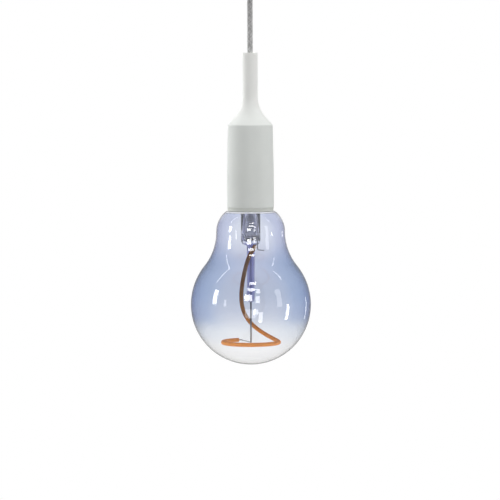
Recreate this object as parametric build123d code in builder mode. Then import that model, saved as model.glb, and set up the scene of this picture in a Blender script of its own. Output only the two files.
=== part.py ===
from build123d import *
import os
from math import acos, asin, cos, degrees, hypot, pi, radians, sin, sqrt, tan

# Hanging lamp: a large bell-shaped LED filament bulb, screwed into a soft pendant lampholder that a
# textile cord carries from a plain ceiling cup. Millimetres, +Z up. The origin lies on the ceiling,
# midway between the two fixing holes, and the lamp hangs down along -Z. The front faces -Y.

# Clearances
fit_gap = 0.15               # between pieces that are pushed or screwed together
running_gap = 0.3            # between pieces that move past each other
cord_gap = 0.1               # round the cord and round each wire where a hole lets it through
same_level = 0.001           # heights and radii that differ by less are the same

# Ceiling fitting
hole_spacing = 50.0
hole_diameter = 4.5
strap_width = 16.0
strap_thickness = 1.5
strap_drop = 15.0            # length of the strap's turned-down ends
strap_bend = 3.0             # outer radius of its two bends
cup_radius = 40.0
cup_height = 36.0
cup_wall = 1.2
cup_edge = 6.0
thumb_drop = 9.0             # level of the two thumb screws below the ceiling
thumb_shank_radius = 1.9
thumb_head_radius = 3.6
thumb_head_length = 4.0
grip_length = 16.0
grip_radius = 7.0
grip_tip_radius = 5.0
grip_taper = 6.0
grip_shank_radius = 5.0
nut_radius = 8.0
nut_thickness = 3.0
shank_spare = 2.0            # how far the grip's shank stands past its nut
set_screw_radius = 1.5
block_length = 24.0
block_depth = 12.0
block_height = 13.0
block_edge = 1.0
barrel_spacing = 12.0        # between the terminal block's two brass barrels
barrel_radius = 2.6
block_screw_radius = 1.5
block_screw_head = 2.4
block_screw_head_length = 1.6

# Cord and its two cores
cord_radius = 2.75
cord_drop = 65.0             # free cord between the ceiling grip and the holder's neck
cord_top = 10.0              # how far the cord goes on above the ceiling cup's floor
cord_tail = 60.0             # how far it goes on below the top of the neck
core_radius = 1.1
core_offset = 1.2            # of each core from the cord's axis
core_bend = 3.0              # inside the socket
tail_bend = 1.5              # inside the ceiling cup

# Holder sleeve, one soft moulding
neck_radius = 7.5
neck_length = 43.7
neck_edge = 0.8
flare_arc = 31.0             # radius of the hollow curve under the neck
flare_angle = 42.5           # slope of the cone that the curve runs out to
shoulder_radius = 22.3
shoulder_edge = 0.9
body_radius = 23.3
taper_length = 49.0          # shoulder down to where the body is at its full radius
body_length = 85.7           # shoulder to mouth
lip_height = 3.8
lip_radius = 22.8
lip_groove = 0.5             # width and depth of the line above the lip
sleeve_wall = 2.0            # at the shoulder
mouth_ledge = 1.5            # how far the mouth turns in under the socket
mouth_thickness = 1.4

# Lamp socket inside the sleeve
socket_wall = 2.1
socket_roof = 2.5
socket_edge = 1.5
roof_depth = 2.6             # the socket's roof below the sleeve's shoulder
nipple_radius = 6.0
nipple_length = 25.0
clamp_level = 6.0            # cord clamp screw below the top of the nipple
spigot_height = 6.0
spigot_wall = 1.0
insert_thickness = 9.0
insert_edge = 0.8
insert_screw_spread = 24.4
insert_screw_radius = 1.3
insert_screw_head = 2.3
insert_screw_head_length = 1.8
insert_screw_length = 15.0
chamber_radius = 10.0
shell_wall = 0.4
shell_recess = 2.0           # screw shell's lower edge above the mouth ledge
terminal_offset = 11.0
terminal_length = 7.0
terminal_width = 8.0
terminal_height = 6.5
terminal_edge = 0.6
leg_width = 4.0
leg_thickness = 0.8
core_seat = 4.0              # how deep each core enters its terminal
terminal_screw_radius = 1.5
terminal_screw_head = 2.2
terminal_screw_head_length = 1.5

# Sprung centre contact
contact_head_radius = 5.0
contact_head_thickness = 1.5
contact_stem_radius = 2.0
contact_hold = 4.0           # of its stem left in the guide when the bulb is unscrewed
contact_edge = 0.4
spring_length = 4.4          # squeezed by the bulb
spring_turns = 4
spring_radius = 3.6
spring_wire_radius = 0.3
seat_radius = 6.5
seat_thickness = 0.6

# Bulb glass
mouth_gap = 0.4              # between the sleeve's mouth and the top of the glass, also at the lip
belly_radius = 60.0
belly_arc = 62.1             # the belly's curve above its widest level
waist_arc = 54.8             # the hollow curve at the waist
waist_radius = 34.3
crown_height = 20.5          # from the waist to the flat top
crown_arc = 26.0             # the rounded crown above the waist
crown_edge = 2.5             # the tighter curve from there to the flat top
glass_neck_radius = 11.3
glass_neck_fillet = 5.0
glass_neck_length = 13.3     # straight part of the neck, inside the cap
glass_wall = 1.0

# Glass stem: flare tube, exhaust tube, press and rod, melted into one piece
stem_radius = 9.75
stem_wall = 1.1
stem_length = 23.0           # from the top of the bulb's crown to where the press begins
flange_thickness = 1.1
press_taper = 7.0
press_height = 2.3
press_half_width = 8.5
press_half_depth = 2.8
press_edge = 1.0
press_slot_depth = 1.3       # half the width of the hollow that narrows into the press
press_floor = 2.4            # solid glass above the level where the press is flat
exhaust_radius = 4.0
exhaust_wall = 1.1
exhaust_length = 38.0
rod_radius = 3.75
rod_length = 59.0
melted_share = 0.85          # of a glass rod's radius that its melted end rounds off

# Wires inside the bulb
lead_radius = 0.45
lead_offset = 6.8            # each lead from the axis, inside the stem
lead_tail_drop = 7.2         # hook of spare wire below the press
lead_tail_reach = 13.5
lead_bend = 1.8
centre_wire_radius = 0.8
centre_wire_bend = 1.5
foot_wire_radius = 0.4

# Filament: a flexible strand of diodes in orange silicone. It winds down round the rod as it opens
# out, clockwise from above, and ends in a flat ring.
filament_radius = 2.1
filament_start = -45.0       # direction of its top end, in degrees from +X
wind_angle = 315.0           # from the top end to the ring
wind_radius = 6.25           # its distance from the axis at the top
wind_depth = 37.5            # where it starts to wind, below the top of the crown
end_rise = 3.5               # its top end stands up above that
end_share = 0.1              # share of the winding that the top end takes to lie down
ring_radius = 28.0
ring_drop = 37.9             # the ring below the belly's widest level
ring_sweep = 245.0
filament_step = 10.0         # degrees between the points of its curve
tab_radius = 0.6
tab_length = 3.0

# Screw cap and driver
thread_pitch = 3.629
thread_turns = 3             # from fully home to free
cap_radius = 13.2
cap_wall = 0.35
cap_length = 27.0            # rim to tip
cap_rim_gap = 0.3            # rim above the end of the neck's fillet
cap_barrel_length = 21.0     # threaded part
cap_top_radius = 7.6
cap_top_rise = 2.4
insulator_depth = 1.6        # insulator below the edge of the cap's top hole
tip_radius = 4.6
tip_thickness = 1.0
tip_edge = 0.4
tip_stub_radius = 1.2
tip_stub_length = 1.6
cement_length = 8.5
board_radius = 11.0
board_thickness = 1.0
capacitor_radius = 3.0
capacitor_height = 4.6
capacitor_edge = 0.5
capacitor_place = (-4.0, 4.0)
rectifier_size = (5.0, 4.0, 1.6)
rectifier_place = (4.5, -4.0)
resistor_radius = 1.2
resistor_length = 6.0
resistor_place = (-2.5, -7.0)
jumper_radius = 0.35
tip_wire_place = (3.0, 1.5)
shell_wire_place = (-8.0, -3.0)
jumper_rise = 2.4            # wires above the board before they turn
jumper_bend = 0.8

# Centres of the bell's arcs, from the axis
belly_arc_place = belly_radius - belly_arc
waist_arc_place = waist_radius + waist_arc
crown_arc_place = waist_radius - crown_arc
crown_edge_place = crown_arc_place + sqrt(
    (crown_arc - crown_edge) ** 2 - (crown_height - crown_edge) ** 2
)

# Levels down the axis, from the ceiling to the bottom of the bulb
cup_floor = -cup_height
grip_bottom = cup_floor - grip_length
neck_top = grip_bottom - cord_drop
neck_end = neck_top - neck_length
flare_radius = neck_radius + flare_arc * (1 - cos(radians(flare_angle)))
flare_end = neck_end - flare_arc * sin(radians(flare_angle))
shoulder = flare_end - (shoulder_radius - flare_radius) / tan(radians(flare_angle))
taper_end = shoulder - taper_length
mouth = shoulder - body_length
socket_bottom = mouth + mouth_thickness
socket_top = shoulder - roof_depth
nipple_top = socket_top + nipple_length
cord_start = cup_floor + cord_top
cord_end = neck_top - cord_tail
crown = mouth - mouth_gap
waist = crown - crown_height
belly = waist - sqrt((waist_arc + belly_arc) ** 2 - (waist_arc_place - belly_arc_place) ** 2)
bulb_bottom = belly - belly_radius
neck_fillet_end = crown + glass_neck_fillet
glass_neck_top = neck_fillet_end + glass_neck_length
board_bottom = glass_neck_top + flange_thickness
board_top = board_bottom + board_thickness
cap_rim = neck_fillet_end + cap_rim_gap
cap_shoulder = cap_rim + cap_barrel_length
cap_top = cap_shoulder + cap_top_rise
tip = cap_rim + cap_length
shell_top = cap_top + running_gap
contact_bottom = tip + running_gap
contact_top = contact_bottom + contact_head_thickness
seat_bottom = contact_top + spring_length
insert_bottom = seat_bottom + seat_thickness
insert_top = insert_bottom + insert_thickness
contact_stem_top = insert_bottom + thread_turns * thread_pitch + contact_hold
press_top = crown - stem_length
press_flat = press_top - press_taper
press_bottom = press_flat - press_height
rod_bottom = press_bottom - rod_length
wind_level = crown - wind_depth
ring_level = belly - ring_drop

# Radii that follow from the pieces around them
cord_bore = cord_radius + cord_gap
cavity_radius = shoulder_radius - sleeve_wall
socket_radius = cavity_radius - fit_gap
socket_bore = socket_radius - socket_wall
spigot_radius = socket_bore - fit_gap
insert_radius = spigot_radius - spigot_wall - fit_gap
shell_bore = cap_radius + running_gap
shell_radius = shell_bore + shell_wall
strap_reach = sqrt((cup_radius - cup_wall) ** 2 - (strap_width / 2) ** 2) - running_gap


def turned(outline):
    """A solid of revolution about Z from a closed outline of (radius, height) points."""
    with BuildPart() as solid:
        with BuildSketch(Plane.XZ):
            with BuildLine():
                Polyline(*outline, close=True)
            make_face()
        revolve(axis=Axis.Z)
    return solid.part


def round_wire(points, radius, bend):
    """A round wire along straight runs joined by bends of one radius."""
    with BuildPart() as solid:
        with BuildLine() as route:
            FilletPolyline(*points, radius=bend)
        with BuildSketch(Plane(origin=route.line @ 0, z_dir=route.line % 0)):
            Circle(radius)
        sweep()
    return solid.part


def drilled(origin, direction, radius, depth):
    """The round plug that a drill would take out, from origin along direction."""
    with BuildPart() as solid:
        with BuildSketch(Plane(origin=origin, z_dir=direction)):
            Circle(radius)
        extrude(amount=depth)
    return solid.part


def headed_screw(origin, direction, shank_radius, shank_length, head_radius, head_length):
    """A screw whose head rests at origin and whose shank runs along direction."""
    with BuildPart() as solid:
        with BuildSketch(Plane(origin=origin, z_dir=direction)):
            Circle(shank_radius)
        extrude(amount=shank_length)
        with BuildSketch(Plane(origin=origin, z_dir=direction)):
            Circle(head_radius)
        extrude(amount=-head_length)
    return solid.part


# Ceiling strap: a folded steel strip with two holes for the ceiling screws
with BuildPart() as ceiling_strap:
    with BuildSketch(Plane.XZ) as strap_side:
        with BuildLine():
            Polyline(
                (-strap_reach, -strap_drop),
                (-strap_reach, 0),
                (strap_reach, 0),
                (strap_reach, -strap_drop),
                (strap_reach - strap_thickness, -strap_drop),
                (strap_reach - strap_thickness, -strap_thickness),
                (strap_thickness - strap_reach, -strap_thickness),
                (strap_thickness - strap_reach, -strap_drop),
                close=True,
            )
        make_face()
        fillet(strap_side.vertices().group_by(Axis.Y)[1], strap_bend - strap_thickness)
        fillet(strap_side.vertices().group_by(Axis.Y)[-1], strap_bend)
    extrude(amount=strap_width / 2, both=True)
    with Locations((-hole_spacing / 2, 0, 0), (hole_spacing / 2, 0, 0)):
        Hole(hole_diameter / 2, strap_thickness)
    Hole(block_screw_radius, strap_thickness)
    with Locations(Location((0, 0, -thumb_drop), (0, 90, 0))):
        Cylinder(thumb_shank_radius, 2 * strap_reach, mode=Mode.SUBTRACT)

# Ceiling cup: drawn sheet, open towards the ceiling
with BuildPart() as ceiling_cup:
    Cylinder(cup_radius, cup_height, align=(Align.CENTER, Align.CENTER, Align.MAX))
    fillet(ceiling_cup.edges().group_by(Axis.Z)[0], cup_edge)
    offset(amount=-cup_wall, openings=ceiling_cup.faces().sort_by(Axis.Z)[-1])
    with Locations((0, 0, cup_floor + cup_wall)):
        Hole(grip_shank_radius + cord_gap, cup_wall)
    with Locations(Location((0, 0, -thumb_drop), (0, 90, 0))):
        Cylinder(thumb_shank_radius, 2 * cup_radius, mode=Mode.SUBTRACT)

# Thumb screws: through the cup's wall into the strap's turned-down ends
with BuildPart() as thumb_screws:
    for side in (-1, 1):
        add(
            headed_screw(
                (side * cup_radius, 0, -thumb_drop),
                (-side, 0, 0),
                thumb_shank_radius,
                cup_radius - strap_reach + strap_thickness,
                thumb_head_radius,
                thumb_head_length,
            )
        )

# Cord grip: a threaded tube through the cup's floor, with a tapered body below it
nut_bottom = cup_floor + cup_wall
shank_top = nut_bottom + nut_thickness + shank_spare
grip_screw_level = cup_floor - (grip_length - grip_taper) / 2
with BuildPart() as cord_grip:
    add(
        turned(
            [
                (cord_bore, shank_top),
                (grip_shank_radius, shank_top),
                (grip_shank_radius, cup_floor),
                (grip_radius, cup_floor),
                (grip_radius, grip_bottom + grip_taper),
                (grip_tip_radius, grip_bottom),
                (cord_bore, grip_bottom),
            ]
        )
    )
    add(
        drilled((0, 0, grip_screw_level), (0, -1, 0), set_screw_radius, grip_radius),
        mode=Mode.SUBTRACT,
    )

with BuildPart() as grip_nut:
    with BuildSketch(Plane.XY.offset(nut_bottom)):
        RegularPolygon(nut_radius, 6)
        Circle(grip_shank_radius, mode=Mode.SUBTRACT)
    extrude(amount=nut_thickness)

with BuildPart() as grip_screw:
    add(
        drilled(
            (0, -cord_radius, grip_screw_level), (0, -1, 0), set_screw_radius, grip_radius - cord_radius
        )
    )

# Terminal block: moulded, screwed to the underside of the strap, with a brass barrel for each core
block_bottom = -strap_thickness - block_height
block_middle = -strap_thickness - block_height / 2
barrel_places = [(-barrel_spacing / 2, 0), (barrel_spacing / 2, 0)]
barrel_bore = core_radius + cord_gap
with BuildPart() as terminal_block:
    with BuildSketch(Plane.XY.offset(block_bottom)):
        RectangleRounded(block_length, block_depth, block_edge)
        with Locations(*barrel_places):
            Circle(barrel_radius, mode=Mode.SUBTRACT)
        Circle(block_screw_radius, mode=Mode.SUBTRACT)
    extrude(amount=block_height)
    for x, y in barrel_places:
        add(
            drilled((x, y, block_middle), (0, -1, 0), block_screw_radius, block_depth / 2),
            mode=Mode.SUBTRACT,
        )

with BuildPart() as block_barrels:
    with BuildSketch(Plane.XY.offset(block_bottom)):
        with Locations(*barrel_places):
            Circle(barrel_radius)
            Circle(barrel_bore, mode=Mode.SUBTRACT)
    extrude(amount=block_height)
    for x, y in barrel_places:
        add(
            drilled((x, y, block_middle), (0, -1, 0), block_screw_radius, block_depth / 2),
            mode=Mode.SUBTRACT,
        )

with BuildPart() as block_screws:
    for x, y in barrel_places:
        add(
            headed_screw(
                (x, -block_depth / 2, block_middle),
                (0, 1, 0),
                block_screw_radius,
                block_depth / 2 - core_radius,
                block_screw_head,
                block_screw_head_length,
            )
        )
    add(
        headed_screw(
            (0, 0, block_bottom),
            (0, 0, 1),
            block_screw_radius,
            block_height + strap_thickness,
            block_screw_head,
            block_screw_head_length,
        )
    )

# Core tails: from the top of the cord into the terminal block
tail_turn = (block_bottom - cord_start) / 3
core_tails = []
for side in (-1, 1):
    core_tails.append(
        round_wire(
            [
                (side * core_offset, 0, cord_start),
                (side * core_offset, 0, cord_start + tail_turn),
                (side * barrel_spacing / 2, 0, block_bottom - tail_turn / 2),
                (side * barrel_spacing / 2, 0, block_middle + block_screw_radius),
            ],
            core_radius,
            tail_bend,
        )
    )

with BuildPart() as neutral_tail:
    add(core_tails[0])

with BuildPart() as live_tail:
    add(core_tails[1])

# Cord: taut and straight, from inside the ceiling cup to the clamp in the socket's nipple
with BuildPart() as cord:
    with BuildSketch(Plane.XY.offset(cord_end)):
        Circle(cord_radius)
    extrude(amount=cord_start - cord_end)

# Holder sleeve: a soft moulded skin with a long neck, stretched over the socket. Its lip stands just
# clear of the crown of the glass.
lip_top = mouth + lip_height
nipple_cavity = nipple_radius + fit_gap
with BuildPart() as holder_sleeve:
    with BuildSketch(Plane.XZ):
        with BuildLine():
            Polyline((cord_bore, neck_top), (neck_radius, neck_top), (neck_radius, neck_end))
            CenterArc((neck_radius + flare_arc, neck_end), flare_arc, 180, flare_angle)
            Polyline(
                (flare_radius, flare_end),
                (shoulder_radius, shoulder),
                (body_radius, taper_end),
                (body_radius, lip_top),
                (body_radius - lip_groove, lip_top - lip_groove / 2),
                (body_radius - lip_groove / 2, lip_top - lip_groove),
                (lip_radius, mouth),
                (cavity_radius - mouth_ledge, mouth),
                (cavity_radius - mouth_ledge, socket_bottom),
                (cavity_radius, socket_bottom),
                (cavity_radius, socket_top),
                (nipple_cavity, socket_top),
                (nipple_cavity, nipple_top),
                (cord_bore, nipple_top),
                (cord_bore, neck_top),
            )
        make_face()
    revolve(axis=Axis.Z)
    rims = holder_sleeve.edges().filter_by(GeomType.CIRCLE)
    fillet(rims.filter_by(lambda rim: abs(rim.radius - shoulder_radius) < same_level), shoulder_edge)
    fillet(holder_sleeve.edges().group_by(Axis.Z)[-1].sort_by(SortBy.RADIUS)[-1], neck_edge)

# Socket cap: the upper half of the lamp socket, with a nipple that the cord comes in through
clamp_height = nipple_top - clamp_level
with BuildPart() as socket_cap:
    add(
        turned(
            [
                (cord_bore, nipple_top),
                (nipple_radius, nipple_top),
                (nipple_radius, socket_top),
                (socket_radius, socket_top),
                (socket_radius, insert_bottom),
                (socket_bore, insert_bottom),
                (socket_bore, socket_top - socket_roof),
                (cord_bore, socket_top - socket_roof),
            ]
        )
    )
    outer_rims = socket_cap.edges().filter_by(GeomType.CIRCLE).group_by(SortBy.RADIUS)[-1]
    fillet(outer_rims.sort_by(Axis.Z)[-1], socket_edge)
    add(
        drilled((0, 0, clamp_height), (0, -1, 0), set_screw_radius, nipple_radius),
        mode=Mode.SUBTRACT,
    )

with BuildPart() as clamp_screw:
    add(
        drilled(
            (0, -cord_radius, clamp_height), (0, -1, 0), set_screw_radius, nipple_radius - cord_radius
        )
    )

# Terminals: brass blocks on the insert, each with a leg down through it. The live one ends in the
# ring that the spring bears on, and the other in a foot on the screw shell.
live_leg_place = terminal_offset - terminal_length / 2 + leg_thickness / 2
shell_leg_place = -(shell_bore + shell_wall / 2)
terminal_top = insert_top + terminal_height
terminal_middle = insert_top + terminal_height / 2


def terminal_body(place):
    """A brass block at place along X, with a hole for its core and a tapped hole for its screw."""
    with BuildPart() as solid:
        with BuildSketch(Plane.XY.offset(insert_top)):
            with Locations((place, 0)):
                RectangleRounded(terminal_length, terminal_width, terminal_edge)
        extrude(amount=terminal_height)
        add(
            drilled((place, 0, terminal_top), (0, 0, -1), core_radius + cord_gap, core_seat),
            mode=Mode.SUBTRACT,
        )
        add(
            drilled((place, 0, terminal_middle), (0, -1, 0), terminal_screw_radius, terminal_width / 2),
            mode=Mode.SUBTRACT,
        )
    return solid.part


with BuildPart() as live_terminal:
    add(terminal_body(terminal_offset))
    with BuildSketch(Plane.XY.offset(seat_bottom)):
        with Locations((live_leg_place, 0)):
            Rectangle(leg_thickness, leg_width)
    extrude(amount=insert_top - seat_bottom)
    with BuildSketch(Plane.XY.offset(seat_bottom)):
        Circle(seat_radius)
        with Locations((live_leg_place / 2, 0)):
            Rectangle(live_leg_place, leg_width)
        Circle(contact_stem_radius + running_gap, mode=Mode.SUBTRACT)
    extrude(amount=seat_thickness)

with BuildPart() as shell_terminal:
    add(terminal_body(-terminal_offset))
    with BuildSketch(Plane.XY.offset(shell_top)):
        with Locations((shell_leg_place, 0)):
            Rectangle(leg_thickness, leg_width)
    extrude(amount=insert_top - shell_top)

with BuildPart() as terminal_screws:
    for place in (-terminal_offset, terminal_offset):
        add(
            headed_screw(
                (place, -terminal_width / 2, terminal_middle),
                (0, 1, 0),
                terminal_screw_radius,
                terminal_width / 2 - core_radius,
                terminal_screw_head,
                terminal_screw_head_length,
            )
        )

# Cores: from the end of the cord, through the nipple, to the two terminals
core_fan = socket_top - socket_roof - core_bend
core_ends = []
for side in (-1, 1):
    core_ends.append(
        round_wire(
            [
                (side * core_offset, 0, cord_end),
                (side * core_offset, 0, core_fan),
                (side * terminal_offset, 0, terminal_top + core_bend),
                (side * terminal_offset, 0, terminal_top - core_seat),
            ],
            core_radius,
            core_bend,
        )
    )

with BuildPart() as neutral_core:
    add(core_ends[0])

with BuildPart() as live_core:
    add(core_ends[1])

# Insert: a ceramic disc that carries the terminals and guides the sprung contact
insert_screw_places = [(0, -insert_screw_spread / 2), (0, insert_screw_spread / 2)]
slot_places = [(live_leg_place, 0), (shell_leg_place, 0)]
with BuildPart() as socket_insert:
    with BuildSketch(Plane.XY.offset(insert_bottom)):
        Circle(insert_radius)
        Circle(contact_stem_radius + running_gap, mode=Mode.SUBTRACT)
        with Locations(*insert_screw_places):
            Circle(insert_screw_radius, mode=Mode.SUBTRACT)
        with Locations(*slot_places):
            Rectangle(leg_thickness + fit_gap, leg_width + fit_gap, mode=Mode.SUBTRACT)
    extrude(amount=insert_thickness)
    insert_rims = socket_insert.edges().filter_by(GeomType.CIRCLE).group_by(SortBy.RADIUS)[-1]
    chamfer(insert_rims, insert_edge)

# Socket barrel: the lower half of the socket, with a spigot that screws into the cap
with BuildPart() as socket_barrel:
    add(
        turned(
            [
                (shell_radius, socket_bottom),
                (socket_radius, socket_bottom),
                (socket_radius, insert_bottom),
                (spigot_radius, insert_bottom),
                (spigot_radius, insert_bottom + spigot_height),
                (spigot_radius - spigot_wall, insert_bottom + spigot_height),
                (spigot_radius - spigot_wall, insert_bottom),
                (chamber_radius, insert_bottom),
                (chamber_radius, shell_top),
                (shell_radius, shell_top),
            ]
        )
    )
    with BuildSketch(Plane.XY.offset(shell_top)):
        with Locations((shell_leg_place, 0)):
            Rectangle(leg_thickness + fit_gap, leg_width + fit_gap)
    extrude(amount=insert_bottom - shell_top, mode=Mode.SUBTRACT)
    for x, y in insert_screw_places:
        add(
            drilled(
                (x, y, insert_bottom), (0, 0, -1), insert_screw_radius, insert_screw_length - insert_thickness
            ),
            mode=Mode.SUBTRACT,
        )

with BuildPart() as insert_screws:
    for x, y in insert_screw_places:
        add(
            headed_screw(
                (x, y, insert_top),
                (0, 0, -1),
                insert_screw_radius,
                insert_screw_length,
                insert_screw_head,
                insert_screw_head_length,
            )
        )

# Screw shell: the plated tube that takes the bulb's thread
with BuildPart() as screw_shell:
    with BuildSketch(Plane.XY.offset(socket_bottom + shell_recess)):
        Circle(shell_radius)
        Circle(shell_bore, mode=Mode.SUBTRACT)
    extrude(amount=shell_top - socket_bottom - shell_recess)

# Centre contact: a sprung plunger that bears on the bulb's tip
with BuildPart() as centre_contact:
    with BuildSketch(Plane.XY.offset(contact_bottom)):
        Circle(contact_head_radius)
    extrude(amount=contact_head_thickness)
    fillet(centre_contact.edges().group_by(Axis.Z)[0], contact_edge)
    with BuildSketch(Plane.XY.offset(contact_top)):
        Circle(contact_stem_radius)
    extrude(amount=contact_stem_top - contact_top)

with BuildPart() as contact_spring:
    with BuildLine(Plane.XY.offset(contact_top + spring_wire_radius)) as spring_line:
        spring_rise = spring_length - 2 * spring_wire_radius
        Helix(spring_rise / spring_turns, spring_rise, spring_radius)
    with BuildSketch(Plane(origin=spring_line.line @ 0, z_dir=spring_line.line % 0)):
        Circle(spring_wire_radius)
    sweep()


# Bulb glass: blown in one piece. The outline runs down from the neck over a flat crown and a
# hollow waist to the belly, and its inner face keeps the wall's distance from the outer one.
def bell_face(inset):
    """Half the bell's section, from the axis out to its wall, drawn in by inset."""
    crown_start = glass_neck_radius + glass_neck_fillet
    crown_angle = degrees(asin((crown_height - crown_edge) / (crown_arc - crown_edge)))
    meeting_angle = degrees(acos((waist_arc_place - belly_arc_place) / (waist_arc + belly_arc)))
    with BuildSketch(Plane.XZ) as half:
        with BuildLine():
            Polyline(
                (0, glass_neck_top),
                (glass_neck_radius - inset, glass_neck_top),
                (glass_neck_radius - inset, neck_fillet_end),
            )
            CenterArc((crown_start, neck_fillet_end), glass_neck_fillet + inset, 180, 90)
            Line((crown_start, crown - inset), (crown_edge_place, crown - inset))
            CenterArc((crown_edge_place, crown - crown_edge), crown_edge - inset, 90, crown_angle - 90)
            CenterArc((crown_arc_place, waist), crown_arc - inset, crown_angle, -crown_angle)
            CenterArc((waist_arc_place, waist), waist_arc + inset, 180, meeting_angle)
            CenterArc((belly_arc_place, belly), belly_arc - inset, meeting_angle, -meeting_angle)
            CenterArc((0, belly), belly_radius - inset, 0, -90)
            Line((0, bulb_bottom + inset), (0, glass_neck_top))
        make_face()
    return half.sketch


with BuildPart() as glass_envelope:
    revolve(bell_face(0), axis=Axis.Z)
    revolve(bell_face(glass_wall), axis=Axis.Z, mode=Mode.SUBTRACT)

# Wires that the stem carries. The feed lead passes through the press and ends in a hook of spare
# wire. The centre wire crosses to the axis inside the press and runs down through the rod.
with BuildPart() as feed_lead:
    add(
        round_wire(
            [
                (lead_offset, 0, board_top),
                (lead_offset, 0, press_bottom - lead_tail_drop + lead_radius),
                (lead_tail_reach, 0, press_bottom - lead_tail_drop),
            ],
            lead_radius,
            lead_bend,
        )
    )

with BuildPart() as centre_wire:
    add(
        round_wire(
            [
                (-lead_offset, 0, board_top),
                (-lead_offset, 0, press_flat + press_floor / 2),
                (0, 0, press_bottom),
                (0, 0, ring_level - foot_wire_radius),
            ],
            centre_wire_radius,
            centre_wire_bend,
        )
    )

# Glass stem: the flange is melted to the bulb's neck, and the tube below it is pressed flat round
# the wires. The exhaust tube stands inside, and the rod hangs from the press.
flange_outline = [
    (0, board_bottom),
    (glass_neck_radius, board_bottom),
    (glass_neck_radius, glass_neck_top),
    (stem_radius, glass_neck_top),
    (stem_radius, press_top),
    (0, press_top),
]
stem_bore = stem_radius - stem_wall
with BuildPart() as glass_stem:
    add(turned(flange_outline))
    with BuildSketch(Plane.XY.offset(press_top)):
        Circle(stem_radius)
    with BuildSketch(Plane.XY.offset(press_flat)):
        Ellipse(press_half_width, press_half_depth)
    loft()
    with BuildSketch(Plane.XY.offset(press_flat)):
        Ellipse(press_half_width, press_half_depth)
    with BuildSketch(Plane.XY.offset(press_bottom)):
        Ellipse(press_half_width - press_edge, press_half_depth - press_edge)
    loft()
    with BuildSketch(Plane.XY.offset(board_bottom)):
        Circle(stem_bore)
    extrude(amount=press_top - board_bottom, mode=Mode.SUBTRACT)
    with BuildSketch(Plane.XY.offset(press_top)):
        Circle(stem_bore)
    with BuildSketch(Plane.XY.offset(press_flat + press_floor)):
        Ellipse(press_half_width - stem_wall, press_slot_depth)
    loft(mode=Mode.SUBTRACT)
    with BuildSketch(Plane.XY.offset(press_flat)):
        Circle(exhaust_radius)
    extrude(amount=exhaust_length)
    exhaust_rims = glass_stem.edges().filter_by(
        lambda rim: abs(rim.center().Z - press_flat - exhaust_length) < same_level
    )
    fillet(exhaust_rims, exhaust_radius * melted_share)
    with BuildSketch(Plane.XY.offset(press_flat + press_floor)):
        Circle(exhaust_radius - exhaust_wall)
    extrude(amount=exhaust_length - press_floor - exhaust_radius, mode=Mode.SUBTRACT)
    with BuildSketch(Plane.XY.offset(press_flat)):
        Circle(rod_radius)
    extrude(amount=rod_bottom - press_flat)
    fillet(glass_stem.edges().group_by(Axis.Z)[0], rod_radius * melted_share)
    add(feed_lead.part, mode=Mode.SUBTRACT)
    add(centre_wire.part, mode=Mode.SUBTRACT)


# Filament: a curve through points of one formula
def filament_point(turn):
    """The filament's centreline after so many degrees of turn from its top end."""
    share = min(turn / wind_angle, 1)
    opening = share**4 * (5 - 4 * share)
    reach = wind_radius + (ring_radius - wind_radius) * opening
    fall = (1 - cos(pi * share)) / 2
    rise = end_rise * max(1 - share / end_share, 0) ** 2
    angle = radians(filament_start - turn)
    height = wind_level + (ring_level - wind_level) * fall + rise
    return (reach * cos(angle), reach * sin(angle), height)


filament_turn = wind_angle + ring_sweep
point_count = round(filament_turn / filament_step)
filament_points = [filament_point(filament_turn * i / point_count) for i in range(point_count + 1)]
with BuildPart() as led_filament:
    with BuildLine() as filament_line:
        Spline(*filament_points)
    with BuildSketch(Plane(origin=filament_line.line @ 0, z_dir=filament_line.line % 0)):
        Circle(filament_radius)
    sweep()

# Filament tabs: the metal end pieces, one welded to the feed lead, one to the foot wire
filament_top = filament_line.line @ 0
top_way = (filament_line.line % 0) * -1
ring_end = filament_line.line @ 1
ring_end_way = filament_line.line % 1
tab_start = filament_top + top_way * tab_radius
tab_way = Vector(lead_offset, 0, tab_start.Z) - tab_start
with BuildPart() as filament_tabs:
    with BuildSketch(Plane(origin=ring_end, z_dir=ring_end_way)):
        Circle(tab_radius)
    extrude(amount=tab_length)
    with BuildSketch(Plane(origin=filament_top, z_dir=top_way)):
        Circle(tab_radius)
    extrude(amount=2 * tab_radius)
    with BuildSketch(Plane(origin=tab_start, z_dir=tab_way)):
        Circle(tab_radius)
    extrude(amount=tab_way.length - lead_radius)

# Foot wire: from the end of the centre wire out to the tab at the end of the ring
foot_end = ring_end + ring_end_way * (tab_length / 2)
with BuildPart() as foot_wire:
    foot_way = Vector(foot_end.X, foot_end.Y, 0).normalized()
    foot_length = hypot(foot_end.X, foot_end.Y) - centre_wire_radius - tab_radius
    foot_start = foot_way * centre_wire_radius + Vector(0, 0, ring_level)
    with BuildSketch(Plane(origin=foot_start, z_dir=foot_way)):
        Circle(foot_wire_radius)
    extrude(amount=foot_length)

# Screw cap: a thin plated shell round the glass neck, filled in at the top by the insulator
cap_bore = cap_radius - cap_wall
with BuildPart() as cap_shell:
    add(
        turned(
            [
                (cap_bore, cap_rim),
                (cap_radius, cap_rim),
                (cap_radius, cap_shoulder),
                (cap_top_radius, cap_top),
                (cap_top_radius, cap_top - cap_wall),
                (cap_bore, cap_shoulder - cap_wall),
            ]
        )
    )

with BuildPart() as cap_cement:
    with BuildSketch(Plane.XY.offset(cap_rim)):
        Circle(cap_bore)
        Circle(glass_neck_radius, mode=Mode.SUBTRACT)
    extrude(amount=cement_length)

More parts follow.
